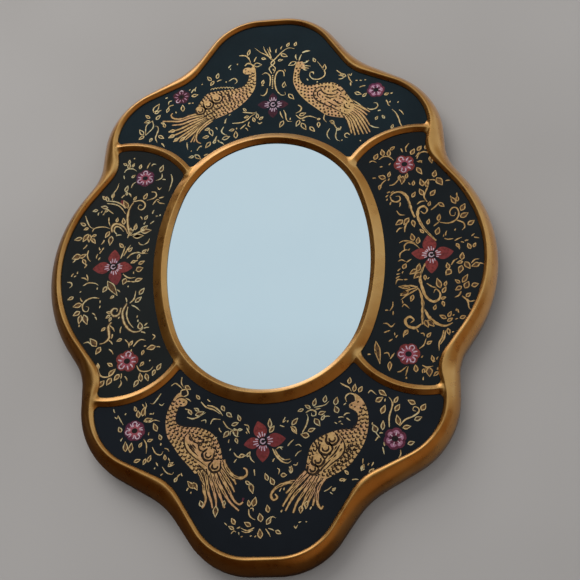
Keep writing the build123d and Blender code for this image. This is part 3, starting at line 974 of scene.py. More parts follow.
# ------------------------------------------------------------------ painted ornament: the head panel
def paint_top():
    """A flowering tree between two peacocks that look away from each other."""
    art = Painting("top")
    # The tree: a beaded stem between two scrolls, a twisted neck and a fan of twigs.
    for step in range(7):
        art.oval(0.6, 101.4 + 1.35 * step, 0, 0.75, 0.8, GOLD, LIGHT)
    art.strokes([
        [(-0.5, 103), (-0.2, 108), (-1.2, 110.6), (-3, 111.7), (-4.7, 110.6)],
        [(-1.7, 101.5), (-2.3, 98.6), (-3.8, 97.1), (-5.2, 97.6)],
        [(7.2, 108.6), (6.6, 111.8), (4.2, 112.3), (2.6, 109.6), (2.2, 105), (3.2, 100), (5.6, 96.8),
         (7.8, 96.7), (7.6, 98.6)],
    ], 0.65)
    art.strokes([
        [(0.4, 111), (-0.9, 114.6), (1.9, 118), (-0.2, 121), (-3, 123.6), (-6, 125.6), (-8.9, 128.6)],
        [(1.5, 111), (2.3, 114.4), (-0.1, 117.6), (2.2, 120.4), (4.2, 122.9), (7, 125.7), (9.5, 127),
         (12.6, 126.2)],
        [(0.1, 120), (-2.4, 124.4), (-3.6, 126.8), (-4.3, 129.2)],
        [(0.6, 119.6), (-0.9, 124.2), (-2.2, 127.6)], [(-0.2, 125), (-0.8, 127), (-1, 128.6)],
    ], 0.6)
    art.dabs([
        (2.7, 125.7, 85, 2.6), (5.5, 127.5, 70, 2.2), (0.2, 115.9, 60, 1.6), (1.4, 113.4, 120, 1.4),
        (7.5, 112.2, -70, 1.6),
    ])
    art.leaves([
        (9.1, 129.2, 62, 2.8), (13.1, 129.3, 70, 2.8), (7, 122.3, -28, 4.2), (5, 119.3, 10, 2.6),
        (-4, 121.1, -15, 2.6),
    ])
    art.leaves([(7.1, 103.2, 80, 3.8), (11, 95.2, -50, 4.6), (-4.2, 105.7, 80, 3.0)])
    art.dabs([(-4.3, 103.6, 0, 1.2), (7.8, 102.3, 20, 1.4)])
    art.cross_flower(1.5, 91, [(1.2, 98.4), (-6.8, 91.4), (9.6, 90.6), (1.4, 82.6)], MAROON)

    # The left peacock.
    body = art.patch(
        [(-10.6, 115.6), (-11.6, 112), (-12, 108), (-14, 104.3), (-18, 102.8), (-25, 102.2), (-33, 101.2),
         (-36.6, 97.4), (-40, 90.2)],
        [(-9.4, 117.6), (-8.3, 114), (-8, 108), (-8.4, 102.6), (-10.8, 97.6), (-15, 92.6), (-20.4, 88.4),
         (-26.4, 85.6), (-33, 83)],
    )
    art.scales(body, 0.10, 0.97)
    art.swirls([(-28.7, 97.4, 300, 3.1), (-33.2, 93.8, 305, 2.8), (-37.3, 90.6, 310, 2.7)])
    art.strokes([
        [(-24.6, 100.2), (-22.4, 99), (-21.6, 96.8), (-22.8, 94.6)],
        [(-25.4, 92.6), (-27.8, 90.8), (-30.4, 90.4)], [(-29.4, 89.4), (-33.4, 87.4), (-36.6, 85.2)],
    ], 0.9, BISTRE, LIGHT)
    for step in range(8):
        art.crescent(-20.6 - 1.55 * step, 103 + 0.35 * step - 0.045 * step**2, 95, 0.75, 0.4, GOLD, MARK, 190)
    art.strokes([[(-14.2, 117.2), (-12.8, 118.7), (-10.8, 118.1), (-9.4, 116.4)]], 0.8)
    art.oval(-15.2, 113.8, 0, 5.2, 4.4, PLUMAGE, LIGHT)
    art.dabs([(-13.6, 114.7, 30, 1.1), (-12.1, 113.2, -40, 1.1), (-13.7, 112.6, 10, 0.8)], DARK, 0.6, TOP)
    art.leaf(-7.2, 117.3, -4, 4.6, fat=0.55)
    art.strokes([
        [(-17.4, 124.3), (-14.4, 124), (-12.4, 122.4), (-11, 119)], [(-9.2, 119.6), (-8.8, 121), (-8, 122.6)],
    ], 0.75)
    art.leaf(-12.2, 126, 75, 4.2, fat=0.3)
    art.tail([
        [(-36, 88.6), (-42, 87.8), (-47, 86), (-51.4, 86.6), (-53, 88.6), (-52.2, 90)],
        [(-35, 87.6), (-42, 86.4), (-48, 84.6), (-53, 84.9), (-57.4, 85.3)],
        [(-34, 86.6), (-42, 84.4), (-47, 82.6), (-52.2, 82.4)],
        [(-34, 85.8), (-41, 83), (-48, 79.6), (-53.8, 78.2)],
        [(-33.4, 85), (-40, 81.6), (-47, 77.6), (-53.6, 74.8)],
        [(-33, 84.4), (-39, 80.6), (-45, 76.4), (-50.8, 72)],
        [(-32.6, 84), (-38, 80), (-43, 76), (-47.6, 71.6)],
        [(-32.4, 83.8), (-37.6, 79.4), (-41.6, 75.6), (-44.6, 72.6)],
        [(-31.6, 83.4), (-36.4, 79), (-39.6, 75), (-41.6, 71)],
        [(-30.6, 83.6), (-35.4, 79.6), (-38.4, 75.4), (-40, 71)],
        [(-28.6, 86), (-33.6, 82.6), (-37.4, 78.6), (-38.8, 74.6), (-38.2, 71.2), (-36.2, 69.8)],
    ])
    art.leaves([
        (-52, 78.7, 190, 3.6), (-52, 75.4, 205, 3.8), (-46.2, 73.2, 225, 3.6), (-49.6, 73, 220, 3.4),
        (-56.3, 82.7, 110, 3.0),
    ])

    # The right peacock.
    body = art.patch(
        [(13.6, 117), (12.4, 111), (12, 105), (13.4, 100), (16, 95.4), (20, 90.6), (25, 86), (29, 82.4),
         (34, 80.6), (39.4, 79.6)],
        [(17, 117.4), (16, 113), (15.2, 109), (16, 104.6), (19.6, 101.4), (26, 102.2), (33, 102.2),
         (37.6, 98.6), (41.6, 92), (45, 86.6)],
    )
    art.patch(
        [(14.4, 117.6), (16.6, 116.6), (18, 115.4)], [(14.2, 114.6), (16.2, 112.8), (18.6, 112.2)],
        GROUND + 0.006, steps=10,
    )
    art.scales(body, 0.08, 0.97, 1.8, 60, 0.45, 150, 1.15)
    wing = art.patch(
        [(25.4, 100), (22.8, 97), (23.4, 92.6), (27.6, 89.2), (33, 86), (40, 81.6)],
        [(29.4, 99.4), (33.6, 99.4), (38, 96.4), (41, 91.6), (43.2, 87.6), (44, 84.4)], MARK + 0.003,
    )
    art.scales(wing, 0.06, 0.9, 2.3, 60, 0.45, 130, 0.95, LIGHT)
    art.strokes([
        [(29.4, 99.4), (26, 100), (23.4, 98), (22.8, 94.8), (24.4, 91.8), (28.4, 88.8), (33, 86), (38, 82.6),
         (41.6, 80.4)],
        [(27.2, 98.6), (25, 97), (25, 94.4), (26.6, 92.6)],
        [(26.4, 99.4), (27.6, 96.6), (30.6, 94.8), (34, 94.6), (36.2, 96)],
        [(28.6, 94), (31.4, 92.6), (33.8, 93)], [(33, 96.8), (35.6, 97.4), (37.6, 95.4)],
        [(33.6, 91.6), (35, 89.4), (38, 88)], [(36, 93.6), (38.6, 92), (40.4, 89.6)],
        [(30, 90.4), (33.2, 88), (36.4, 86.4)], [(38.6, 88.4), (39.2, 86), (42, 84.6)],
    ], 0.85, BISTRE, LIGHT)
    art.tail([
        [(37.4, 83), (40.4, 78), (41.6, 73), (42.2, 69.8)], [(38, 83.4), (41.6, 78), (43, 73), (44, 68.6)],
        [(38.6, 84), (42.6, 79), (44.6, 73.6), (46, 68.8)],
        [(39.4, 84.6), (43.6, 80), (46, 74.6), (48.2, 68.8)],
        [(40.2, 85.2), (44.8, 80.6), (47.6, 75), (50.2, 69)],
        [(41.2, 85.8), (46, 81), (49, 75.6), (51.6, 69.8)],
        [(42.4, 86.2), (47, 82), (49.6, 78), (51.4, 74.4)], [(43.4, 86.8), (47.6, 83.4), (50.4, 80.4)],
        [(44.4, 87.4), (48, 85.2), (51.8, 82.2)],
    ])
    art.strokes([
        [(43, 90.4), (46.4, 87.4), (49.4, 84)], [(38, 96.4), (40.4, 93.4), (42, 91)],
        [(28.6, 83), (28, 80), (29.4, 77.6)],
    ], 0.5)
    art.leaf(11.4, 116.4, 205, 4.6, fat=0.5)
    art.strokes([
        [(13.4, 122.4), (13.2, 120.6), (14, 118.4)], [(15, 118), (15.6, 120.2), (16.6, 122.4)],
        [(16.6, 116.6), (18.4, 116.4), (20.6, 118)],
    ])
    art.strokes([
        [(16.6, 114.4), (18.8, 114.4), (21.4, 113.8)], [(17, 112.8), (18.4, 111.6), (19.4, 111.6)],
        [(17.4, 113.6), (19, 113), (20.4, 112.4)],
    ])
    art.dabs([(18.9, 123.6, 12, 4.2)], GOLD, 1.0)
    art.dabs([(15.8, 116, 60, 0.9), (16.6, 114.3, 20, 0.8)], DARK, 0.6, TOP)

    # Flowers, sprigs and scrolls round them.
    art.round_flower(-48, 100, 4.7, 5, 0.5)
    art.arched_flower(55.3, 95.6, 4.7, 5, 0.85)
    art.strokes([
        [(21, 110), (20.8, 107.8), (22.4, 105.6), (25.4, 105.1), (28.2, 106.6), (28.9, 109), (27.6, 112),
         (26.2, 114.4), (24.9, 116.6)],
        [(21, 110), (22.6, 109.8), (22.8, 108.4)],
        [(50.6, 84.6), (52.2, 83.7), (54.6, 84), (56, 85.6), (55.4, 87.4), (53.8, 87.6)],
        [(68, 71.8), (67, 74), (66.4, 77), (65, 80.6), (63.2, 82.8)],
        [(-59.6, 72.3), (-60.6, 75), (-60, 77.6), (-59.4, 80.2), (-60, 82.2), (-61.4, 82.6)],
        [(-20, 80.9), (-15, 81.1), (-12, 82.6), (-10, 84.7), (-7.2, 86.4)],
        [(14.6, 89.6), (16.3, 88), (15.8, 85.8), (13.4, 84.5)],
        [(13.5, 83.4), (16, 81), (19, 82), (21.4, 81.9), (24.6, 80.4)],
        [(7, 87), (8, 84.6), (8.3, 82), (9.2, 80), (11.4, 79.5)], [(5.2, 86.4), (5.6, 84.4), (6.8, 81.8)],
        [(-24.4, 79.2), (-25.5, 76.6), (-24.4, 74.8), (-22.4, 73.6)],
        [(-27.9, 73.6), (-28.8, 71.6), (-30, 69.6)],
    ], 0.6)
    art.strokes([
        [(31, 78.3), (33, 76.4), (34.6, 73.6), (36.8, 72.2)],
        [(31, 73.6), (29.7, 71), (30, 68.6), (31.2, 67)],
        [(34.6, 72.2), (34, 69), (34.6, 66.6), (36.2, 65.6)],
        [(41.2, 69), (40, 70.1), (38.7, 69.4), (38.9, 67.9), (40.2, 67.4)],
        [(51.4, 74.2), (53.6, 72.7), (56.2, 72.1)], [(66.8, 82.2), (68, 81), (69, 79)],
        [(61, 88.2), (61.3, 86), (62.2, 84.9)], [(35, 110), (36.6, 108.4), (38.4, 107.4)],
        [(36, 106.7), (37.6, 106.4), (39.4, 107)], [(36, 104.2), (37.8, 104.4), (39.4, 105.4)],
        [(43, 101.4), (41.6, 104), (40.8, 107)], [(41.4, 107), (42.4, 105.9), (43, 107.4)],
        [(42.2, 101.6), (42.3, 99.2)],
        [(-22.6, 108), (-20.4, 109.5), (-18.8, 109), (-18.2, 107.2), (-19.4, 106)],
        [(-14.6, 87.5), (-11.6, 86.9), (-9, 86.5), (-7, 87)], [(-15.6, 77.1), (-13.6, 79), (-12.8, 79.8)],
        [(-11, 81.2), (-11.5, 79), (-10.4, 78)], [(-43.6, 71), (-43.3, 68.4), (-42.9, 66.4)],
        [(-53, 98), (-54.6, 97.4), (-54.8, 95.4)], [(-52, 95.2), (-54, 94.6), (-55.4, 92.6)],
        [(-4.2, 80.4), (-5.6, 79.6), (-6.6, 80.6)],
    ])
    art.leaves([
        (28.6, 112.4, 85, 4.2), (23.2, 117.8, 115, 3.0), (-61.3, 94, 60, 6.0), (-65.7, 88.8, 145, 3.2),
        (-65.8, 85.6, 195, 3.2), (-59.9, 88, 50, 3.6), (-64.5, 81.6, 250, 9.4), (-57.6, 75.4, -32, 3.6),
        (-68.4, 79.2, 125, 4.4), (-68.2, 75.8, 215, 3.4), (-63.1, 74, 240, 2.6), (-60.6, 91.4, 30, 3.2),
        (-40.7, 100.4, 12, 3.6), (-46.9, 92.8, 95, 4.2), (-55, 92, 250, 3.0), (-33.3, 110.6, 130, 3.6),
        (-28.8, 112, 80, 3.6), (-31.6, 107.4, 240, 3.4), (-17.9, 73.8, 92, 4.4), (-20.2, 76.8, 190, 2.8),
        (-30.9, 76, 290, 4.6), (-33.2, 78.3, 200, 2.8), (-33.8, 73.5, 190, 3.4), (-23, 72.2, 20, 4.4),
        (-32.4, 68.6, 235, 4.4), (-37.4, 61.6, -40, 4.4), (-40.9, 61.9, 190, 2.8), (-6.8, 84.6, 100, 3.2),
        (-4.7, 82.9, 40, 2.6), (-8.6, 82.4, 110, 3.0), (-12.6, 84.3, 200, 2.6), (-13.6, 89, 130, 2.6),
        (6, 78.4, 245, 4.4), (17, 83.6, 20, 3.8), (14.5, 78.2, 245, 4.2), (17.6, 76, 300, 5.0),
        (22, 74, 310, 4.0), (25.3, 76.4, 270, 3.4), (25.4, 79.9, 10, 1.8), (46, 94.2, -20, 3.8),
        (49.4, 93, 45, 3.0), (58.6, 78.6, 120, 2.4), (55.2, 78.2, 60, 2.4), (63, 72.4, 70, 2.6),
        (38.4, 106.6, 150, 3.6), (60.8, 92.6, 20, 2.6), (32.6, 77.2, 300, 3.4), (35.6, 72.9, 20, 2.6),
        (-28.9, 70.4, 60, 2.6), (-57.2, 84, 160, 2.2),
    ])
    art.dabs([
        (-41.6, 103.6, 52, 3.6), (-40.5, 104.4, 80, 2.8), (-43.6, 104.2, 60, 1.0), (-43.4, 95.5, 10, 1.2),
        (-41.6, 95.5, 0, 1.0), (-56, 100, 20, 1.4), (-27.8, 108.8, 20, 2.6), (-24, 107.6, 30, 0.8),
        (-22.3, 117.6, 55, 2.4), (-21.9, 115.8, 80, 0.8), (-18.2, 118.7, 70, 1.0), (-37, 107.2, 40, 0.9),
        (-59.4, 92, 20, 2.2), (-56.4, 70.3, -55, 3.0), (-50.4, 90.4, 110, 1.2), (-35.9, 68, 50, 0.9),
        (-37, 67, 55, 3.4), (-41, 65.5, 80, 0.8), (-33.2, 62.6, 25, 2.2), (-25, 69, -40, 2.8),
        (-26.9, 70.4, -60, 1.8), (-28.2, 78.4, -60, 1.8), (-17.5, 77.6, 90, 1.0), (-12.2, 76.6, -55, 2.4),
        (10.6, 81.3, 80, 1.4), (17.4, 79.9, 160, 1.6), (45.4, 102.4, 0, 1.2), (47.6, 102.3, -10, 1.2),
        (50, 102.4, 20, 0.8), (48.4, 98.4, 15, 3.2), (56.7, 82.6, 10, 1.6), (60.6, 88.4, 80, 1.0),
        (62.4, 87.6, 70, 1.0), (66.5, 87, 40, 0.9), (63.4, 92.8, 20, 1.2), (37.2, 66, 40, 0.9),
        (46.6, 65, 40, 0.6), (36.8, 73.9, 90, 1.2), (19.2, 117.2, 45, 1.0), (24.8, 103.4, 70, 0.9),
        (19.6, 105.4, 120, 1.4), (-23.4, 83, 75, 2.6), (-23.8, 81.6, 20, 1.0), (-21.4, 86.4, 40, 1.2),
    ])
    art.finish()


# ------------------------------------------------------------------ painted ornament: the left panel
def paint_left():
    """A vine of scrolls and hollow leaves about three flowers."""
    art = Painting("left", filled=True)
    art.round_flower(-64.5, 50.8, 5.0, 6, 0.55, ROSE, 30, WHITE)
    art.round_flower(-66.8, -50, 5.6, 5, 0.6, RED, 10, WHITE)
    art.cross_flower(-77.4, 0.6, [(-77.4, 10.2), (-88, 0), (-67.6, -0.4), (-75, -9.6)])
    for leaf in ((-76.2, 38.6, 300, 5.0, 2.2), (-68.6, 17.2, 0, 5.4, 1.4), (-85.6, 41.6, 310, 3.4, 1.2)):
        art.petal(*leaf)
    # Stems and scrolls.
    art.stems([
        [(-70.6, 18.6), (-71.8, 24), (-72.2, 29), (-71.6, 33.4), (-69.6, 37)],
        [(-79.6, 20.2), (-80, 23), (-78.4, 24.9), (-75.6, 24.3), (-73, 22), (-71.4, 18.8)],
        [(-71.8, -22), (-72.6, -25.3), (-75, -26.2), (-76.6, -24.4), (-75.6, -22.3), (-73.6, -22.6),
         (-73.8, -24)],
        [(-69, -19.8), (-70.8, -24), (-70, -29), (-67.6, -33), (-64.6, -35), (-61.4, -34.6), (-60, -33)],
        [(-76, -29.4), (-77.3, -31.6), (-76.8, -35), (-76.6, -37.8), (-78.6, -40), (-81, -40.6)],
    ])
    art.strokes([
        [(-70, 37.3), (-66, 37.7), (-63.8, 36), (-63.6, 33.8), (-65.2, 32.2), (-67, 33.2), (-66.6, 35),
         (-65.2, 34.9)],
        [(-83.6, 37.2), (-79, 36.2), (-76, 34.2), (-73.4, 30.4)],
        [(-83, 38.6), (-79, 37.8), (-75.8, 36), (-73.6, 33.4)],
        [(-77, 18.8), (-78.6, 21), (-78, 23.2), (-76, 22.9), (-73.6, 20.2)],
        [(-71.4, 16.4), (-70.6, 19.4), (-70.8, 22)], [(-70.4, 17.6), (-68.6, 21), (-67.2, 24)],
        [(-69.8, 17.8), (-65.4, 19.6), (-61.8, 23)], [(-74, 5), (-73, 8.4), (-72.2, 11.8)],
        [(-72.6, 6.4), (-71.2, 9.4), (-69.4, 12.4)],
        [(-70.8, 5), (-68.6, 7.2), (-65.6, 7.9), (-63, 7.2), (-60.4, 7.2)],
        [(-83.2, -16.3), (-86.5, -15.8), (-89.5, -17), (-91.3, -19.5), (-90.6, -22.6), (-88.6, -23),
         (-88.1, -21), (-89.6, -20.3)],
        [(-68.4, -21.6), (-68.7, -26), (-67.2, -30), (-64.8, -33)],
        [(-67.6, -19.7), (-65.6, -17.4), (-65, -13.2)],
        [(-81, -50.8), (-80.4, -54.6), (-78.6, -57.2), (-75.6, -57.6), (-73, -56), (-72, -53.6)],
    ], 0.65)
    art.strokes([
        [(-75.9, 55), (-74.6, 56.8), (-71.6, 57), (-69.2, 55.4)], [(-76, 53.2), (-75.5, 51)],
        [(-63.9, 56.6), (-63.3, 58.5), (-62.4, 60)], [(-61.6, 57.9), (-60.8, 59), (-59.2, 58.8)],
        [(-55.8, 53), (-55.7, 50.8), (-57, 49.6), (-58.8, 49.1)], [(-51, 52.2), (-50.2, 48.4), (-51.6, 42.2)],
        [(-57.6, 45), (-56.8, 43.6), (-55.5, 44.6)],
        [(-60.6, 42.4), (-58.6, 42), (-58, 40), (-59.6, 38.5), (-62.8, 37.6)], [(-56.6, 38.4), (-54, 39.1)],
        [(-59.6, 34.8), (-58.2, 37), (-57.2, 37.8), (-56.2, 37)], [(-57.2, 36.8), (-56, 35.6), (-53.4, 35)],
        [(-81, 38.8), (-80.8, 42.5), (-79, 45.5), (-78.2, 48.8)],
        [(-82.6, 33.4), (-81.4, 32.2), (-79.6, 30.8)], [(-71.6, 45.6), (-70.7, 47.8), (-69.1, 48.9)],
        [(-82, 29), (-81.7, 26), (-80.9, 23.8)], [(-94.4, 30.6), (-93, 27), (-91.5, 24.2), (-89.8, 23)],
        [(-90, 21), (-89.2, 22.8), (-86.6, 23.6), (-83.4, 23.4), (-81, 22.4)], [(-60.2, 23.8), (-58.2, 25.4)],
        [(-91, 10.6), (-91.4, 8), (-90.6, 5.6), (-89.4, 4.3)], [(-65.5, 13.6), (-64.4, 12.3), (-62.8, 12)],
        [(-62.4, 12.2), (-60.7, 13.4), (-60, 15.4)], [(-60, 10), (-60.7, 8)],
        [(-72.2, -3.6), (-70.2, -5.4), (-68, -6.1), (-65.8, -5.8)], [(-68, -8), (-66, -8.2), (-63.4, -7.6)],
        [(-90.8, -2.8), (-90, -5), (-89.9, -6.6)], [(-93.4, -4.6), (-91.6, -4.9), (-90.4, -6)],
        [(-100.4, -6.6), (-98.4, -7), (-97.8, -8.6), (-99, -9.9)],
        [(-92, -9), (-89.4, -7.6), (-86, -8), (-84.2, -9.2)], [(-66.6, -20.8), (-64.4, -22), (-62.2, -24)],
        [(-68.6, -38.8), (-66.8, -40.8), (-66.2, -43.2)], [(-88.9, -39.8), (-86.8, -39.3), (-85.4, -40.6)],
        [(-64.2, -42.6), (-62.4, -40.2), (-60.6, -39.2), (-58.4, -39.7)],
        [(-55.2, -36.7), (-53.9, -37.9), (-55.1, -39.6)], [(-69.8, -63.2), (-68.7, -61.2), (-69.2, -59.4)],
        [(-61.9, -52.4), (-60.4, -54.9), (-57.6, -55.6), (-55.2, -55), (-53.8, -53.2)],
    ])
    art.leaves([
        (-73.6, 58.9, 80, 3.4), (-73.6, 61.4, 88, 2.4), (-75.8, 60, 150, 2.4), (-71.4, 59, 60, 2.2),
        (-67.5, 58, 75, 2.8), (-56.1, 56, 72, 4.4), (-70.8, 52.4, 40, 2.4), (-63.6, 40, 65, 3.8),
        (-69, 39.2, 60, 2.6), (-73.7, 36, 118, 5.4), (-83.7, 39.8, 110, 3.4), (-85.4, 40.6, 130, 2.8),
        (-80.8, 41.8, 75, 3.2), (-84.8, 35, 165, 3.8), (-89.5, 33.3, 190, 2.8), (-83.6, 32.8, 220, 2.6),
        (-73.9, 45.2, 75, 3.8), (-73.6, 42.4, 90, 2.2), (-77.5, 27.2, 80, 2.6), (-74.1, 26.2, 100, 3.8),
        (-82, 19, 240, 4.0), (-80, 15.4, 264, 5.4), (-95.2, 25.8, 150, 3.4), (-93.4, 23, 200, 2.6),
        (-97, 17.4, 192, 4.2), (-93.2, 17.8, 240, 5.0), (-91.2, 17.4, 268, 4.4), (-88.9, 18.8, 200, 2.6),
        (-88.8, 15.8, 305, 3.6), (-69.9, 20.6, 100, 3.2), (-67.6, 22.6, 84, 3.6), (-65.9, 17.2, 2, 5.6),
        (-63.2, 21.4, 42, 4.8), (-62, 19.8, 8, 5.4), (-62.5, 27.6, 60, 2.8), (-97, 7.2, 202, 4.8, 0.6),
        (-93.6, 7.6, 30, 4.0), (-92.6, 4.2, 300, 3.6), (-74.2, 12.4, 130, 3.4), (-69.4, 9.8, 48, 3.0),
        (-62.2, 8.4, 40, 2.8), (-65, 5.6, 250, 2.8), (-67.5, 2.8, 205, 2.8), (-63.2, 2.2, 28, 3.4),
        (-64, -1.4, 20, 3.8, 0.7), (-71.2, -7.8, 250, 3.6, 0.6), (-64, -7.2, 15, 3.8),
        (-77, -11.2, -56, 10.0, 0.3), (-80.8, -11.6, 240, 3.6, 0.5), (-76.8, -16, 220, 2.4),
        (-97.8, -15.6, 205, 3.2), (-94, -19.6, 195, 4.6, 0.5), (-94, -24, 212, 4.0, 0.5),
        (-92, -27.2, 262, 4.8), (-89.2, -27.4, 292, 5.8), (-77.8, -24.2, 172, 2.4), (-78, -26.4, 215, 2.6),
        (-76.8, -28, 250, 2.4), (-79.8, -33, 225, 2.6), (-84.2, -39.6, 130, 5.6, 0.5),
        (-81.4, -44, 240, 4.2, 0.5), (-61.6, -32, 100, 3.8, 0.6), (-62, -13.6, 55, 4.2),
        (-63.4, -18, 42, 4.2), (-71.4, -39, 205, 2.8), (-65.4, -40.8, 60, 2.8), (-55.5, -43.6, 195, 4.4, 0.5),
        (-59.4, -46, 250, 2.6), (-80.8, -52, 98, 3.2), (-75, -51.4, 150, 3.2), (-73.8, -55.4, 50, 4.2),
        (-78.6, -61.3, 232, 4.8), (-74.8, -60, 240, 4.2, 0.5), (-71.2, -58, 232, 3.8, 0.5),
        (-59.4, -51.8, 230, 2.8), (-61.6, -61.5, 240, 4.0), (-59.6, -58.4, 100, 4.4),
        (-56.5, -58.6, 290, 4.0), (-53.4, -56.4, 250, 3.2), (-51, -53.5, 60, 3.8),
    ])
    art.dabs([
        (-54.5, 49.3, -10, 1.8), (-50.4, 50.6, 60, 1.2), (-75.3, 40.8, 45, 2.4), (-71.9, 41.4, -60, 2.8),
        (-87.6, 31.3, 80, 1.8), (-86, 32.4, 60, 1.2), (-84.8, 31, 50, 1.4), (-76, 18.2, 5, 2.8),
        (-93, 12.7, 230, 3.0), (-84, 14.8, 240, 2.8), (-63, 24.4, 60, 1.8), (-65, 27.4, 300, 2.4),
        (-59, 30.6, 70, 2.2), (-57, 28, 0, 1.2), (-55.3, 28.5, 70, 1.0), (-98, 5, 230, 2.0),
        (-91.8, 1.8, 240, 2.2), (-85.3, 11.2, 110, 1.8), (-83.5, 11, 60, 1.6), (-84.5, 9.3, 60, 2.2),
        (-86.3, 7, 75, 2.4), (-85, 5.5, 60, 1.6), (-65.6, 3.4, 40, 1.0), (-66.8, -3.2, 90, 1.2),
        (-68.9, -8, -10, 2.0), (-69, -10.6, 80, 0.9), (-95.5, -1.6, 80, 1.4), (-98, -2.8, 60, 2.0),
        (-96.6, -3.6, 30, 1.2), (-84.6, -10.9, 80, 1.2), (-73.8, -12.8, -40, 2.2), (-93, -12.3, 40, 0.9),
        (-92.2, -16.6, 120, 2.6), (-92, -30.5, 90, 1.2), (-85.2, -24.8, -40, 2.2), (-84, -27, -60, 2.0),
        (-82.7, -18.2, 270, 1.4), (-82.6, -21, 255, 1.4), (-72.4, -27.2, 60, 1.2), (-75.3, -32.8, -52, 4.0),
        (-75.2, -36.9, 262, 2.4), (-75.5, -40, -50, 3.0), (-58.4, -33.2, 8, 2.6), (-58.7, -31.4, 45, 2.0),
        (-59.8, -35.6, -20, 2.4), (-62.8, -29.3, 90, 1.2), (-63.3, -27, 80, 1.4), (-69.5, -18, 285, 2.6),
        (-71, -33.6, 84, 3.4), (-65, -44.6, 80, 1.2), (-58.4, -42.7, 20, 1.2), (-51.9, -43.4, -10, 1.8),
        (-74.9, -44.8, -50, 3.6), (-69.1, -57.4, 268, 2.6), (-66.6, -58.8, -60, 2.8), (-55.6, -50.2, 40, 0.8),
        (-71, 63.2, 60, 0.9), (-71, 60, 45, 0.8),
    ])
    art.finish()


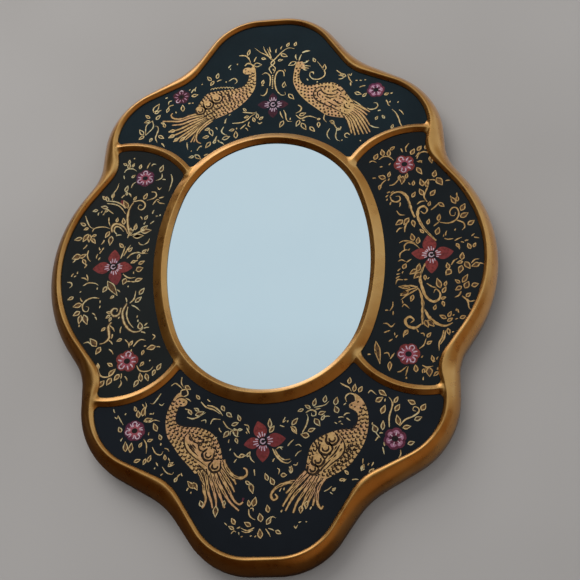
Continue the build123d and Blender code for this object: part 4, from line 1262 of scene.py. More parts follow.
# ------------------------------------------------------------------ painted ornament: the right panel
def paint_right():
    """A vine of scrolls and hollow leaves about three flowers."""
    art = Painting("right", OCHRE, filled=True)
    art.round_flower(68.2, 49.4, 5.4, 5, 0.6, RED, 45, WHITE)
    art.round_flower(66, -52.4, 5.4, 6, 0.6, RED, 0, WHITE)
    art.cross_flower(79, -2, [(77.6, 8.6), (69.4, -0.6), (89.6, -0.8), (78.6, -12)])
    # Stems and scrolls.
    art.strokes([
        [(72, 18.8), (70.6, 22.6), (69.6, 27), (68.4, 31), (65.6, 33.5), (62.2, 33.1), (60.2, 31)],
        [(81.6, 5.4), (79.4, 8), (76.4, 12), (74.2, 16.4), (73.4, 20), (74.2, 23.6), (76.6, 24.7),
         (78.2, 22.6), (76.8, 20.6), (75, 22)],
        [(75.8, -6.6), (74.2, -10), (73, -14), (74, -20), (75.4, -24), (78.4, -26.6), (81.2, -25.6),
         (82, -22.6), (80.2, -20.2), (79, -22)],
        [(73, -38), (73.4, -32), (73.6, -26), (72.4, -20.4), (70.8, -18.6)],
        [(72.4, -37.8), (69.6, -39.6), (66.2, -38.4), (65.2, -35.6), (67.2, -33.8), (69.2, -35.4),
         (67.6, -37)],
        [(74.6, -30.6), (76.2, -34.4), (79.6, -37.8), (83.4, -39.2), (87, -37.8)],
    ], 1.3)
    art.strokes([
        [(71.2, 19), (70, 23), (69, 27.6), (67.4, 30.8), (65.4, 32.2)],
        [(73, 21), (71.6, 25), (70.6, 29), (68.6, 32.6)],
        [(80.6, 6.6), (77.6, 10.4), (75.2, 14.4), (73.9, 18.6)], [(75, -7.6), (73.8, -12), (74.6, -18.6)],
        [(73.3, -36.6), (73.9, -30), (73.8, -24)], [(75.6, -31.6), (78.6, -35.8), (82.4, -38)],
    ], 0.3, DARK, LIGHT)
    art.strokes([
        [(60.4, 31.4), (61.2, 29), (63.2, 28), (65.2, 29), (65, 31), (63.2, 31.2)],
        [(84, 15.2), (88, 14.6), (91.4, 16), (93.2, 19), (92.6, 22.4), (90.6, 23), (89, 21), (89.4, 18.8),
         (91.2, 18.6), (91.6, 20.4)],
        [(92, 16), (95, 14.4), (95.6, 12), (94.2, 10.4)],
        [(78.4, 27), (77, 30), (78, 33), (79.2, 36.4), (78.6, 39)], [(66.8, 11), (67.2, 14), (69.4, 18)],
        [(66.4, 1.2), (66.4, 3.6), (68.4, 5.2), (71.2, 4.2), (73.4, 1.8)],
        [(88, -8), (89.4, -5.8), (91.2, -4.8)], [(71.8, -19.6), (68.6, -21.4), (66, -23), (63.6, -25)],
        [(71.6, -18.6), (67.6, -17.8), (64.2, -18.8)], [(71.4, -19), (67.4, -20), (63.4, -22)],
        [(91.8, -22), (90.6, -24), (88.6, -25)], [(92, -24.4), (94.4, -27), (94.8, -30.4), (96, -32)],
        [(82.6, -41.4), (81.8, -44.6), (80.2, -47.6), (80, -51.4)],
        [(83.4, -41.6), (82.6, -45.2), (80.6, -48.4)],
    ], 0.7)
    art.strokes([
        [(50.8, 51.8), (52.4, 52.4), (54.4, 51.4)], [(55.6, 53), (58, 54.6), (60.8, 54.2), (63, 52)],
        [(60.4, 49.4), (61.4, 50.6)], [(66.8, 58.8), (67.6, 56.4)], [(69.4, 56.6), (69.2, 59), (71, 61.6)],
        [(74.4, 52), (76, 55.2), (78.6, 56), (80.8, 54.4), (81.2, 51)], [(74, 53.4), (76, 56.2)],
        [(74.4, 50.6), (77, 49.6)], [(58.8, 41), (56.6, 38.8), (55.4, 35.4)],
        [(60.4, 37.6), (62.4, 38), (64.4, 40), (65.6, 42)], [(79.8, 39.4), (82, 39.4), (84, 38.4)],
        [(73.4, 26), (75.2, 27.4), (77.4, 27.6)], [(80, 22.4), (82.4, 24.4), (84.2, 26.4)],
        [(63.4, 23), (64.8, 20.8), (67.2, 20.4)], [(80.8, 13.4), (82.6, 14.8), (84, 16)],
        [(62.8, 11.2), (64.2, 13), (66, 13.4)], [(64, 5.2), (66, 6.2), (69.4, 5.8), (71.6, 4.6)],
        [(64, -3), (64.2, -0.6), (66.6, 1.2), (68.4, 1)], [(63, -4.6), (64.8, -4), (66.6, -5)],
        [(67, -5.4), (69.4, -3.8)], [(62.6, -9.8), (64, -8.6)], [(65, -14.6), (62.4, -14.4), (61.4, -16.8)],
        [(62, -11.6), (63.8, -11.2)], [(85.6, 6.4), (87.2, 5.8), (89.8, 6)],
        [(90.4, 4.8), (92, 5.8), (93.8, 6.4)], [(98.4, 6.8), (100, 8.2)], [(99.6, 6.2), (102, 5.6)],
        [(97.4, -7.6), (99.2, -5.8), (101.2, -5.6)], [(101, -7.6), (103, -8.2)],
        [(76, -17), (78.6, -19), (80.6, -19.4)], [(59.8, -25.8), (59.6, -28), (58.2, -30.4)],
        [(64, -28.6), (65.2, -27.4), (67.4, -29.6)], [(94.2, -26), (95.4, -27.4), (98, -27)],
        [(55, -36.6), (56.8, -36.8), (58.6, -38.4), (60.4, -36.8)], [(55.2, -41.2), (58, -40.2)],
        [(64, -44), (64.4, -42), (66, -41)], [(71, -50), (73.2, -48.2), (74.4, -45)],
        [(72, -42.4), (73.4, -42.6), (73.6, -44)], [(54.8, -51.6), (56.6, -51.4), (57.4, -53.6)],
        [(57.6, -54.4), (59.6, -51.6)], [(60.6, -61), (62.2, -60.6), (65, -58.4)],
        [(64.2, -63), (65, -60.4), (65.6, -58.4)], [(72, -58.2), (74, -59.2), (77, -58.8)],
        [(72, -62), (72, -60.4), (73.6, -59.8)], [(59.8, -30.6), (59.6, -32.6)], [(89.6, -31), (90, -33)],
        [(71, -41.8), (70.2, -40)], [(57.2, -45.8), (59, -44.6)],
    ])
    art.leaves([
        (54.2, 54.8, 60, 3.8, 0.5), (57.5, 57, 100, 4.0, 0.5), (60.7, 56.6, 85, 4.0), (62.6, 59.2, 40, 3.0),
        (72.6, 56.4, 60, 3.8, 0.5), (76, 58.2, 50, 3.4, 0.5), (79.6, 59, 60, 3.4), (81.4, 51, 280, 4.2),
        (75.4, 45, 300, 4.8), (76, 50.4, 10, 2.2), (56.8, 42.6, 160, 3.8, 0.6), (60.4, 44, 75, 3.2),
        (55.5, 36.8, 260, 2.8), (66.8, 40.2, 260, 4.8, 0.5), (65.4, 42, 70, 2.8), (69, 42.6, 75, 3.0),
        (72.2, 38.2, 80, 2.8), (76.2, 38.2, 105, 4.4, 0.45), (78.8, 37.8, 72, 4.4),
        (75.8, 32.8, 115, 4.2, 0.5), (81.4, 32, 50, 4.0, 0.5), (82.8, 42.8, 75, 4.0, 0.5),
        (85, 38.2, 300, 5.2, 0.6), (72, 31.6, 60, 3.4), (79.4, 26, 70, 2.8), (85.2, 25, -40, 3.6, 0.5),
        (64.4, 16.4, 215, 4.4, 0.5), (67.8, 16.8, 235, 4.6), (71.2, 15.4, 280, 4.0), (78.4, 16, 70, 3.0),
        (83.6, 18, 78, 3.8), (91, 27.2, 118, 4.6), (93, 28, 90, 3.2), (95.4, 23, 60, 4.4, 0.5),
        (95.8, 18.6, 28, 4.6, 0.5), (98.8, 14.2, 35, 4.0, 0.5), (82.6, 10.6, 70, 4.2, 0.5),
        (75, 11, 130, 2.8), (70.4, 8, 100, 4.0, 0.5), (73, 6, 80, 3.6, 0.5), (66, -7.4, 60, 3.0, 0.6),
        (72.6, -8.4, 75, 4.4), (70, -10.6, 215, 4.4), (71.6, -12.6, 225, 4.6, 0.45), (75.4, -14, 270, 2.8),
        (86.4, -8.4, 100, 3.4, 0.5), (86.4, -11.8, 230, 3.8, 0.7), (93.4, -3.6, 80, 4.0, 0.5),
        (92, -6.8, 190, 3.0), (92.2, -10.6, 250, 4.4, 0.5), (95.6, -8.6, 300, 4.4, 0.55),
        (99.4, -8.6, 200, 4.2, 0.5), (91.8, 2, 300, 3.0), (97, 1.6, 110, 3.4, 0.5), (99.6, 2, 60, 2.6),
        (81.6, -17.2, 105, 5.4), (84, -20.8, 60, 3.6), (84.8, -17.6, 70, 2.8), (83.4, -25, 20, 2.6),
        (83.2, -28, 280, 2.8), (79.2, -29.6, 70, 2.8), (90.4, -16.8, 140, 3.0), (90.6, -20.4, 210, 3.6, 0.5),
        (94, -15.4, 55, 5.0, 0.35), (94.6, -18.8, 60, 4.0, 0.6), (98.4, -19, 15, 3.4, 0.6),
        (95, -24, 40, 3.0, 0.5), (65.4, -18.4, 172, 5.4, 0.3), (65.4, -21.8, 205, 4.4, 0.4),
        (68.8, -24.4, 250, 3.6), (82.6, -34.6, 150, 3.6), (85.8, -33.4, 60, 3.2), (85.8, -36.2, 30, 3.0),
        (75, -37.8, 290, 4.0, 0.5), (77, -37.6, 310, 4.4, 0.5), (65.2, -41.8, 235, 3.4, 0.5),
        (91.8, -35.2, 20, 3.0, 0.5), (84.8, -42.2, 280, 3.4), (75.8, -43.4, 50, 3.0), (75.8, -47.2, 30, 2.8),
        (69, -59.6, 95, 3.6, 0.5), (75, -61.6, 270, 4.6, 0.6), (78, -62.6, 220, 3.0),
        (57.2, -58, 265, 4.6, 0.35), (52, -51, 278, 11.5, 0.2), (73.4, -60.6, 240, 2.8),
        (76.8, -55, 100, 3.0),
    ])
    art.dabs([
        (56.6, 48.6, 10, 1.4), (53, 42.3, 0, 1.8), (60.2, 41, 60, 1.4), (89, 38.4, 5, 2.2),
        (70.2, 38, 120, 1.6), (59.8, 33.6, 20, 1.8), (59, 31.6, 40, 1.8), (59, 29.6, 60, 1.2),
        (60.6, 27.4, 70, 1.8), (65, 26.4, 260, 2.6), (61.6, 33.6, 40, 1.8), (93, 30.4, 90, 1.8),
        (90, 29, 100, 1.8), (86.6, 9.2, 75, 2.6), (85.4, 8, 70, 1.4), (91, 10.8, 60, 1.2),
        (94, 3.8, -20, 1.6), (96, 4.6, 10, 1.8), (92, 1, 290, 2.2), (68.6, 1.4, 60, 1.2),
        (65, -10.6, 60, 1.2), (66.4, -14.6, 0, 1.6), (62.6, -13.2, 30, 2.2), (77, -14.4, 40, 1.2),
        (68.4, -24.4, 80, 1.0), (64.4, -26, 100, 1.6), (56.8, -30, 0, 1.4), (89, -31.4, 80, 1.2),
        (87.6, -34, 40, 1.0), (88.8, -36, 20, 1.2), (61, -43.4, 50, 1.6), (60, -42.2, 270, 1.4),
        (48, -51.8, 0, 1.4), (72.2, -54, 50, 1.2), (79, -55, 60, 1.6), (77.4, -56.6, 20, 1.4),
        (72.2, -64.6, 80, 1.6), (86.8, -42.4, 20, 1.0), (64.6, -64, 80, 1.0), (79, -60, 60, 1.6),
        (50.8, -50.6, 240, 1.4),
    ])
    art.finish()


# ------------------------------------------------------------------ painted ornament: the foot panel
def paint_bottom():
    """Two peacocks that look towards each other over a flower, among sprigs."""
    art = Painting("bottom", filled=True, touch=0.87)
    art.round_flower(-60.6, -84.6, 5.0, 7, 0.55, ROSE, 40, WHITE)
    art.arched_flower(58.4, -92.4, 5.2, 15, 0.9)
    art.cross_flower(-0.8, -91.6, [(-3.4, -82), (9.6, -90.6), (-9.6, -93), (-0.8, -101.4)])

    # The left peacock.
    body = art.patch(
        [(-38.6, -66.2), (-41.4, -67.6), (-43.6, -71), (-45.8, -76.6), (-46.2, -82), (-45, -88), (-42.4, -92),
         (-39, -97), (-35, -101.4), (-31.4, -105.6)],
        [(-37.6, -66.4), (-38.6, -69), (-40, -73), (-41.6, -77.4), (-41.2, -81.6), (-37.4, -83.6),
         (-31, -84.2), (-25, -86.6), (-21, -92), (-18.4, -102)],
    )
    art.scales(body, 0.14, 0.98)
    art.crescent(-38.2, -67.2, 60, 1.9, 0.55, GOLD, LIGHT, 320)
    art.petal(-39.8, -67.2, 0, 3.2, 2.9, DARK, MARK)
    art.oval(-41.2, -71.4, -8, 4.8, 3.8, PLUMAGE, LIGHT)
    art.strokes([[(-41.8, -70.4), (-40.4, -69.3), (-38.2, -69.4), (-36.8, -70.4)]], 0.6, DARK, TOP)
    art.dabs([(-40.1, -71.2, 0, 1.0), (-38.1, -71.7, 30, 1.0), (-39.4, -72.8, 0, 1.0)], DARK, 0.85, TOP)
    art.patch(
        [(-36.4, -86.8), (-37.4, -90.4), (-35.4, -95.6), (-31, -100), (-27.4, -104)],
        [(-34.2, -87), (-31.4, -91.6), (-28, -94.4), (-25, -96.6), (-22.6, -102)], MARK + 0.003,
    )
    art.strokes([
        [(-34.4, -87.2), (-36, -87), (-37.2, -89.8), (-36, -94), (-33, -97.4), (-29.4, -100), (-26, -102.6)],
        [(-34.4, -87.2), (-34.6, -89), (-33.4, -90.6)],
        [(-34.6, -87.4), (-32.4, -90.8), (-29, -91.4), (-26, -90.6), (-24.4, -91.6)],
        [(-30.6, -91.8), (-29.6, -94.8), (-26.6, -95.4)], [(-35.4, -91.6), (-33, -94.8), (-30.4, -97.4)],
        [(-34.4, -91.8), (-31.8, -95)], [(-33.2, -92), (-31.4, -94)],
        [(-28, -88.4), (-25.6, -88.6), (-23.6, -90.4)], [(-31, -88), (-29.6, -89.6), (-27.6, -89.6)],
        [(-25, -93), (-22.6, -94.2), (-21.4, -96.6)], [(-30, -101.4), (-27, -104.4), (-24.6, -107.6)],
    ], 0.8, BISTRE, LIGHT)
    art.swirls([(-25.6, -97, 240, 2.9), (-22.4, -102.4, 250, 2.9)])
    art.tail([
        [(-29, -101), (-27.6, -107), (-27, -113), (-26, -117), (-26.6, -120), (-27.6, -121.2)],
        [(-27.4, -102), (-26, -108), (-25, -114), (-23.6, -118), (-22.8, -121.4)],
        [(-25.6, -103), (-24, -109), (-22.4, -114), (-21.4, -118), (-21.2, -121)],
        [(-24, -104), (-22, -110), (-20, -115), (-18.4, -119), (-17.4, -121.4)],
        [(-22.6, -104), (-20.4, -110), (-17.6, -115), (-15, -119), (-11, -122.8)],
        [(-21.4, -103.6), (-18.4, -109), (-15.6, -114), (-13.4, -118), (-11, -120), (-9.2, -119)],
        [(-20.2, -103), (-17.2, -107.6), (-14.6, -111.6), (-13.2, -114.4)],
        [(-19.4, -102), (-16.4, -105.6), (-13.6, -109), (-12.6, -111)],
        [(-30.4, -103.6), (-28.6, -107), (-27, -110.6)],
        [(-18.4, -99.6), (-17, -103.4), (-14, -107), (-10.6, -108.2), (-8, -107), (-8, -104.6),
         (-9.4, -103.6)],
    ], 1.15, dashed=True)
    art.leaves([
        (-28, -119.2, 110, 3.0, 0.6), (-21.4, -123, 268, 5.0), (-17.8, -119.6, 260, 3.0),
        (-36.6, -64.6, 325, 3.4, 0.5),
    ])
    art.dabs([(-9.4, -118, 250, 1.8)], ROSE, 0.8)
    art.strokes([
        [(-44.6, -63.4), (-42.6, -62.2), (-40.4, -63.8), (-39, -65.4)],
        [(-39.6, -59.2), (-39.8, -62), (-38.6, -64.4)], [(-37.6, -69.6), (-36, -70.4), (-34.8, -71.4)],
    ])

    # The right peacock.
    body = art.patch(
        [(41, -70.4), (43.6, -72.6), (45.8, -76.6), (46.9, -82), (46.4, -88), (44.6, -94), (41.4, -99.4),
         (37.6, -104), (33, -107), (27, -110)],
        [(38.4, -77.2), (40.4, -78.4), (42, -80), (42, -84), (39.6, -87.2), (33, -87.6), (26, -90),
         (21.4, -93.6), (19.6, -99), (18.6, -104.6)],
    )
    art.crescent(39, -72.8, 100, 2.4, 0.6, GOLD, LIGHT, 240)
    art.oval(37.6, -73.1, 0, 3.8, 3.2, DARK, MARK)
    art.oval(38.2, -76.4, 4, 4.0, 2.8, PLUMAGE, LIGHT)
    art.dabs([
        (39.4, -76.1, 0, 1.0), (40.9, -76.9, 30, 1.0), (42.4, -74.6, 60, 1.0), (43.4, -77.4, 70, 1.0),
    ], DARK, 0.8, TOP)
    art.scales(body, 0.14, 0.98)
    hip = art.patch(
        [(43, -93), (38, -101), (28, -109.4)], [(39, -93), (35.6, -97.6), (26, -107)], GROUND + 0.006,
    )
    art.scales(hip, 0.1, 0.9)
    art.patch(
        [(33.4, -89.8), (30.6, -94), (28, -98.6), (23.6, -104.6)],
        [(34.6, -90.4), (36.4, -93.6), (35.6, -98.4), (28.6, -105.4)], MARK + 0.003,
    )
    art.strokes([
        [(33.6, -90), (35.4, -92.6), (36, -96.4), (34, -100), (30, -103), (26, -106.6)],
        [(31, -96), (28, -99.6), (25, -103.6)], [(33.8, -94.4), (31.6, -98), (28.4, -101)],
        [(35.6, -97.4), (37.6, -99), (39, -101)], [(37, -95), (39.4, -97.4)],
        [(29.6, -101), (26.6, -104), (23.4, -107.6)], [(22.4, -92.6), (23.6, -95), (23, -97.4)],
        [(24.6, -91.6), (26, -93)], [(20.8, -96), (22, -98.6)], [(34.9, -92.4), (34.2, -94)],
        [(34.8, -96), (33.6, -97.6)], [(32.4, -95), (31.4, -96.6)], [(32.2, -98.8), (30.8, -100.2)],
        [(30, -97.6), (29, -99.2)],
    ], 0.8, BISTRE, LIGHT)
    art.swirls([
        (30.4, -91.4, 280, 3.0), (27.4, -95.6, 280, 3.2), (24, -101, 285, 3.0), (21.6, -105, 285, 2.6),
    ])
    art.tail([
        [(18.6, -106), (15, -110), (12, -113.4), (9.8, -115.6)],
        [(20, -107), (16, -111), (12.4, -115), (9.4, -119.6), (8.4, -121.4)],
        [(21.4, -107.6), (18, -112), (14, -116), (11.6, -119.6), (9.6, -123.4)],
        [(22.6, -108), (20, -112), (17, -116.4), (14.6, -120), (13, -124.4)],
        [(23.8, -108.4), (21.6, -112.6), (19, -117), (17.4, -120.4), (16.6, -122.6)],
        [(25, -108.8), (23, -113), (20.6, -117.6), (19, -121)],
        [(26, -109.4), (24, -114), (22.4, -118.4), (21.6, -121.4)],
        [(27, -109.6), (24.6, -113), (23.6, -117), (23.8, -120.6), (25.2, -122.8), (26.2, -121.6)],
        [(18, -106.6), (14.6, -109.8), (9.4, -111.2), (5.4, -113), (3.2, -116), (4.2, -118.4), (6, -117.4),
         (5, -115.8)],
    ], 1.15, dashed=True)
    art.leaves([
        (16.4, -123, 265, 3.4, 0.5), (18.8, -121, 262, 3.6), (38.7, -64.2, 80, 3.2, 0.5),
        (40.9, -67.8, 80, 3.8), (43.6, -68.6, 60, 3.2, 0.5),
    ])
    art.strokes([[(34.5, -65.2), (36.6, -66.6), (38.4, -67.6), (39.4, -69.4)]], 0.7)
    art.dabs([(36.4, -75.4, 40, 1.4), (8, -123.4, 60, 1.2), (20.8, -122.4, 60, 1.4)], GOLD)

    # Sprigs and scrolls round them.
    art.strokes([
        [(3.6, -95.2), (5.4, -98.6), (8, -101.2), (10.6, -102), (12, -101)],
        [(4.6, -95.6), (6.6, -98.8), (9, -100.4), (11.6, -100.2)],
        [(17, -88.2), (18.8, -84.8), (19.6, -81.4), (19, -79.4)],
        [(18.6, -78.8), (20.8, -77.6), (23, -78.4), (23, -80.2), (21.4, -80.4), (21.2, -79)],
        [(56, -87), (56.2, -82), (57.6, -77.4), (57.4, -74.6), (56.2, -72.8)], [(57.6, -77.6), (58.2, -75)],
        [(60.6, -86.6), (63.2, -83.8), (66.6, -82.4), (69.2, -80.6), (69.4, -78.8), (67.6, -77.8),
         (66.8, -79.4), (68.2, -80)],
        [(-27, -73.6), (-24, -74.4), (-21.4, -76.4), (-19.6, -78.8)],
        [(-30, -71.8), (-27.6, -74.4), (-24, -75.8), (-20.8, -78)],
        [(-36.2, -79), (-33.4, -79.8), (-30.4, -78.6), (-27.6, -77)],
    ], 0.75)
    art.strokes([
        [(-69, -77), (-67.6, -79.4), (-66.2, -81.6)], [(-70.6, -77.6), (-69.4, -78.4), (-69, -77)],
        [(-49.2, -67), (-51, -69.8), (-52.6, -71.8), (-54, -71.6)],
        [(-49.8, -72), (-48.6, -72.8), (-47.4, -71.8)],
        [(-56, -77.6), (-56.4, -75), (-55.8, -72.6), (-56.4, -71)],
        [(-56.2, -79.6), (-54, -80.6), (-51.6, -79.8), (-49, -80.4)],
        [(-56, -88.8), (-54.6, -91.4), (-54.4, -95.6)],
        [(-51.8, -92.6), (-50, -95.6), (-47.6, -96.4), (-46.6, -94.8)], [(-49.6, -99.8), (-48.6, -101.6)],
        [(-46.6, -102), (-44.6, -104.6), (-42, -105.6), (-41.2, -104.6)],
        [(-43.4, -99.6), (-42.6, -101.6), (-41, -101)], [(-46, -93.4), (-44.6, -93.8), (-43.8, -95)],
        [(-37.4, -74.9), (-34.8, -75.8), (-33.6, -77.4)], [(-27.2, -70.6), (-25.6, -72)],
        [(-25.2, -82.6), (-24, -80.4), (-20.6, -80.6)], [(-19.4, -81.4), (-17.4, -84.4), (-15, -85.8)],
        [(-29.6, -81), (-27.6, -80.6), (-27.4, -82.2)],
        [(-16, -88.4), (-15.6, -86.4), (-12.8, -85.8), (-11.2, -85.8)],
        [(-14.8, -85.6), (-13.8, -88.4), (-11.8, -89)], [(-8.4, -85), (-7, -87.8)],
        [(-9.6, -83.4), (-7.6, -84.2), (-7.4, -86)],
        [(-14, -96.4), (-12.6, -98.2), (-10.4, -98.8), (-9.4, -97.6)], [(-13.8, -101), (-12.6, -99.4)],
        [(-6.8, -97.6), (-6, -99.8), (-4.4, -101.4)], [(-4.6, -104.4), (-4.2, -107.4)],
        [(7, -94.6), (8, -95.8)], [(5.4, -95.4), (6.6, -94.6), (8.4, -94.6)],
        [(10.4, -94.2), (11.6, -92.6), (13.2, -91.2)], [(14, -94), (15.4, -93.6), (16.6, -94.6)],
        [(13.8, -99), (15, -97.4), (16.6, -96.4)], [(13, -102.8), (14.4, -103), (15, -101.8)],
        [(9.2, -80.6), (8.2, -83), (9.6, -82)], [(6.8, -84.4), (9, -85.2)],
        [(11.6, -85.2), (13.4, -87), (14.2, -88.4)], [(22.4, -76.4), (25, -76), (27.4, -75.4), (29.2, -73.8)],
        [(23, -77.4), (25.4, -77)], [(47, -70.6), (48.4, -69.4), (50.8, -71.6)],
        [(35.8, -80.8), (37, -79.8), (38.6, -79.8)], [(37, -82), (38.8, -83.4)],
        [(31.6, -83.8), (32.8, -84.6)], [(34.4, -84.4), (35.4, -85)], [(50, -89.4), (51.8, -91.8)],
        [(49.6, -93), (51.4, -90.8)], [(52.8, -96), (53.4, -99.4)],
        [(60.6, -97.6), (60.6, -99.6), (59.4, -101.6)], [(44, -101), (43.8, -103.4)],
        [(48.6, -102.8), (47.6, -104.6)], [(43, -106.6), (44, -104.6), (44.6, -106)],
        [(5.8, -104.2), (6.8, -105), (6.4, -107)], [(11.2, -103.6), (11.8, -106), (12, -103.8)],
        [(-4, -130.4), (-7, -131.6), (-10, -130.4)], [(-4.6, -131.4), (-7.2, -132.4), (-9.6, -131.8)],
        [(-6.6, -122.2), (-6.4, -124.6), (-5.2, -126.2), (-3.6, -127)],
        [(-6, -122), (-4.8, -121.8), (-4.6, -123.2)], [(2.6, -127.8), (3.8, -125.8), (5.4, -126.4)],
        [(1, -131), (2.4, -133), (3.2, -134.6)], [(2.2, -130.8), (4, -131.4), (4.8, -132)],
        [(-14.2, -132.8), (-13, -131.6), (-12, -132.2)], [(-17.2, -128), (-16, -129.2)],
        [(13.4, -130), (14.2, -131), (15, -129.6)], [(15.4, -128.6), (16.6, -128.2)],
        [(26.6, -115.2), (28.4, -114.4), (30, -113)], [(29.2, -115.6), (30.4, -116.6)],
        [(30.2, -114), (31.2, -114.8)],
    ])
    art.leaves([
        (-67.6, -83.8, 120, 2.8, 0.6), (-64.4, -92, 95, 4.8), (-61.8, -92.6, 85, 4.6),
        (-59.4, -76.6, 100, 3.6, 0.5), (-61, -74, 110, 2.6), (-57, -75.4, 80, 4.6), (-54.6, -79.6, 15, 4.2),
        (-51, -83.2, 115, 4.4), (-48.4, -88, 110, 2.8, 0.5), (-52.8, -98, 70, 3.4), (-55, -99.4, 250, 3.0),
        (-58.4, -98.8, 20, 3.2), (-57.4, -91.4, 60, 2.6), (-53, -89.4, 20, 2.6), (-45.6, -97.6, 100, 2.6),
        (-42.8, -101, 40, 3.0), (-40, -108, 60, 2.6), (-33.2, -110.6, 130, 4.4), (-31, -111.4, 300, 4.2),
        (-31.6, -69.4, 130, 2.8), (-32, -75.4, 150, 2.8), (-30.4, -77.4, 20, 4.4), (-35, -76.6, 300, 3.0),
        (-19.6, -75.4, 300, 3.0, 0.5), (-16.6, -78.6, 320, 3.4, 0.5), (-13.8, -83, 20, 3.4),
        (-12, -80.2, 110, 3.2), (-17.8, -87.8, 230, 3.8, 0.5), (-13.4, -87.2, 290, 4.4, 0.5),
        (-11.4, -85.8, 0, 2.2), (-12.9, -91, 290, 2.8), (-10, -98, 0, 3.0, 0.5), (-7.2, -97.4, 60, 2.8),
        (2.2, -83.2, 92, 4.6, 0.35), (3.2, -86, 55, 3.8), (13.6, -82.8, 50, 4.2, 0.4),
        (13.4, -86.8, 300, 4.4), (19.4, -76, 150, 3.0), (22.6, -74, 75, 3.8), (27.4, -72.6, 80, 3.4, 0.5),
        (23.8, -83.6, 305, 4.4, 0.5), (18.2, -89.4, 165, 4.0, 0.6), (21.2, -87, 20, 3.6),
        (16.2, -77.6, 200, 2.8), (26, -79.2, 20, 3.6), (26.4, -81.4, 60, 2.8), (32.4, -73.8, 75, 4.0, 0.5),
        (32.5, -77.8, 110, 3.6, 0.6), (52, -73.8, 30, 4.0, 0.5), (53.6, -70.8, 320, 4.4),
        (53.6, -78.6, 65, 4.4, 0.45), (59.6, -74.2, 60, 3.4), (60, -78, 55, 3.8, 0.5),
        (66.4, -75.6, 150, 3.8, 0.5), (71.6, -78.2, 55, 3.6, 0.6), (69, -83.4, 20, 3.6, 0.5),
        (60, -83.8, 100, 5.0), (63.8, -87.2, 10, 3.8, 0.45), (49.6, -87.4, 110, 4.0, 0.6),
        (53.2, -86, 85, 4.4, 0.35), (65.4, -94.6, 15, 3.2, 0.5), (43.8, -105, 70, 3.0, 0.5),
        (47.6, -106.6, 40, 3.0), (12, -105, 85, 3.4), (8.8, -107.4, 0, 2.8, 0.6), (1, -108, 110, 3.6),
        (3.6, -110, 115, 3.8, 0.5), (-7.2, -110.6, 320, 3.0), (-5.6, -113, 285, 5.0, 0.4),
        (-6.6, -119.6, 100, 3.0), (-4.2, -119, 75, 4.4, 0.5), (1.8, -122.2, 100, 3.4, 0.5),
        (-1.4, -126, 100, 3.8, 0.6), (2.4, -127.4, 60, 4.0, 0.45), (-1.4, -133, 95, 4.2, 0.5),
        (6.6, -132.6, 330, 2.8, 0.5), (-7, -128.8, 150, 3.4, 0.5), (-13.4, -127.4, 120, 3.2, 0.5),
        (-14.2, -130.2, 150, 2.8), (34.6, -110.2, 15, 2.4), (36.6, -107, 130, 2.4), (31, -114.4, 40, 2.0),
    ])
    art.dabs([
        (-71, -74.6, 110, 2.0), (-65.4, -76.4, 60, 1.0), (-66.4, -88.6, 60, 1.8), (-57.4, -72.6, 300, 1.6),
        (-53.4, -76.8, 0, 1.4), (-52.2, -76.6, 60, 1.0), (-53.8, -86.2, 80, 1.4), (-47.8, -91.4, 80, 1.2),
        (-43.6, -98.6, 120, 1.6), (-46.6, -105.6, 40, 1.4), (-50, -102.6, 60, 0.8), (-38.6, -106.2, 40, 1.8),
        (-37.4, -105.8, 110, 1.6), (-20.6, -85.6, 120, 2.4), (-22.4, -89.4, 40, 1.2), (-16.4, -91, 80, 1.6),
        (-15.6, -95, 60, 1.0), (-8.4, -87.4, 300, 1.2), (4.2, -100.4, 60, 1.8), (10.4, -82.6, 60, 1.0),
        (34.6, -81.6, 0, 2.6), (28.4, -81, 0, 2.2), (34, -83.6, 20, 1.2), (54.6, -74.2, 80, 1.4),
        (48.6, -85, 80, 1.2), (52.4, -89.6, 0, 1.6), (53.6, -94.6, 100, 1.8), (46.4, -103.6, 60, 1.2),
        (40.4, -110.4, 0, 2.8), (35.8, -110.6, 40, 1.6), (-9.4, -134.2, 20, 1.0), (-5.4, -134, 20, 0.8),
        (-3.4, -134.2, 40, 1.0), (-10.8, -132.8, 280, 1.2), (-11, -130.2, 200, 1.6), (7.4, -114, 60, 1.8),
        (9, -113.6, 80, 1.2), (18.8, -128.4, 0, 0.6), (-34.4, -112.6, 60, 1.6), (-32.8, -114.2, 80, 0.8),
    ])
    art.finish()


paint_top()
paint_left()
paint_right()
paint_bottom()


# ------------------------------------------------------------------ studio
FLOOR_Z = -4.0
FLOOR_HALF = 3000
CAMERA_PLACE = Vector((71.18, -233.3, 463.5)) * MM
CAMERA_AIM = Vector((11.0, -16.94, 10.0)) * MM
CAMERA_ROLL = math.radians(-16.87)
CAMERA_LENS = 65.6


def make_floor():
    """A wide pale floor a little under the back of the rim."""
    corners = [(x * FLOOR_HALF, y * FLOOR_HALF, FLOOR_Z) for x, y in ((-1, -1), (1, -1), (1, 1), (-1, 1))]
    floor = make_mesh("floor", corners, [(0, 1, 2, 3)], [floor_finish()])


def lobe(tree, direction, middle, rim, core):
    """One inside a round patch of the sky, nought outside it; rim and core are cosines from its middle."""
    towards = node(tree, "ShaderNodeVectorMath", operation="DOT_PRODUCT")
    tree.links.new(direction, towards.inputs[0])
    towards.inputs[1].default_value = Vector(middle).normalized()
    return spread(tree, towards.outputs["Value"], 0, 1, rim, core)


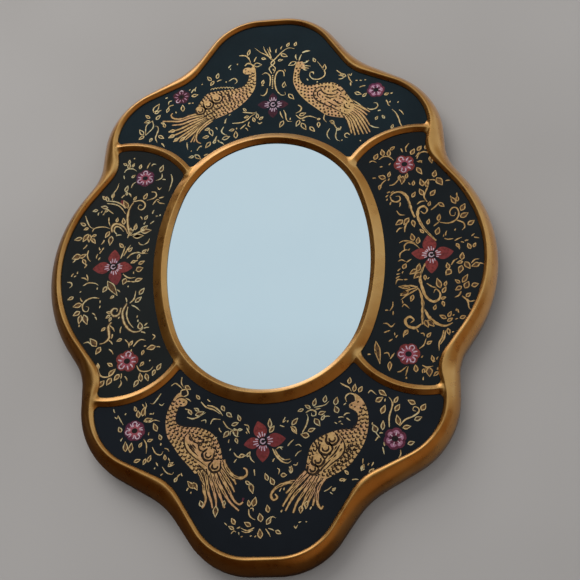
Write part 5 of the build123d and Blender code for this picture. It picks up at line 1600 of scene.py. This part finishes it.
def make_world():
    """Even pale light; what gloss sees is brighter towards the head of the mirror than its foot."""
    world = bpy.data.worlds.new("room")
    bpy.context.scene.world = world
    world.use_nodes = True
    world.cycles.sampling_method = "NONE"
    tree = world.node_tree
    direction = node(tree, "ShaderNodeTexCoord").outputs["Generated"]
    height = node(tree, "ShaderNodeSeparateXYZ", Vector=direction).outputs["Y"]
    room = ramp(
        tree,
        spread(tree, height, 0, 1, -1, 1),
        (0.32, (0.036, 0.018, 0.007)),
        (0.50, (0.11, 0.080, 0.050)),
        (0.60, (0.40, 0.45, 0.48)),
        (0.70, (0.54, 0.64, 0.70)),
        (1.00, (0.62, 0.68, 0.72)),
    )
    cupboard = lobe(tree, direction, (-0.83, 0.42, 0.37), 0.83, 0.925)
    glow = lobe(tree, direction, (-0.50, 0.80, 0.33), 0.90, 0.97)
    warm_wall = lobe(tree, direction, (0.72, -0.50, 0.48), 0.6, 0.95)
    doorway = lobe(tree, direction, (0.35, 0.88, 0.32), 0.88, 0.95)
    seen = mixed(tree, glow, room, (1.9, 1.85, 1.8))
    seen = mixed(tree, cupboard, seen, mixed(tree, 1.0, room, (0.13, 0.085, 0.05), "MULTIPLY"))
    seen = mixed(tree, warm_wall, seen, (0.24, 0.15, 0.075))
    seen = mixed(tree, doorway, seen, mixed(tree, 1.0, seen, (0.50, 0.40, 0.30), "MULTIPLY"))
    rays = node(tree, "ShaderNodeLightPath")
    lit = mixed(tree, rays.outputs["Is Glossy Ray"], (0.52, 0.52, 0.53), seen)
    shown = mixed(tree, rays.outputs["Is Camera Ray"], lit, (0.62, 0.61, 0.60))
    wire(tree, tree.nodes["Background"], Color=shown, Strength=1.0)


def make_window():
    """A soft square lamp aimed at the mirror, in metres. Gloss sees the room's bright side in its place."""
    lamp = bpy.data.lights.new("window", "AREA")
    lamp.shape = "RECTANGLE"
    lamp.size = lamp.size_y = 1.3
    lamp.energy = 17.5
    lamp.color = (1.0, 0.985, 0.97)
    holder = bpy.data.objects.new("window", lamp)
    holder.location = (-0.6, 1.05, 1.15)
    holder.rotation_euler = (-holder.location).to_track_quat("-Z", "Y").to_euler()
    holder.visible_glossy = False
    bpy.context.collection.objects.link(holder)


def make_camera():
    """Where the photographer stood: over the mirror's foot, to its right, looking down at it."""
    camera = bpy.data.cameras.new("camera")
    camera.sensor_width = 36.0
    camera.lens = CAMERA_LENS
    holder = bpy.data.objects.new("camera", camera)
    turn = (CAMERA_AIM - CAMERA_PLACE).to_track_quat("-Z", "Y").to_matrix()
    turn = turn @ Matrix.Rotation(CAMERA_ROLL, 3, "Z")
    holder.matrix_world = Matrix.LocRotScale(CAMERA_PLACE, turn.to_quaternion(), None)
    bpy.context.collection.objects.link(holder)
    bpy.context.scene.camera = holder


make_floor()
make_world()
make_window()
make_camera()
bpy.context.scene.view_settings.view_transform = "Standard"
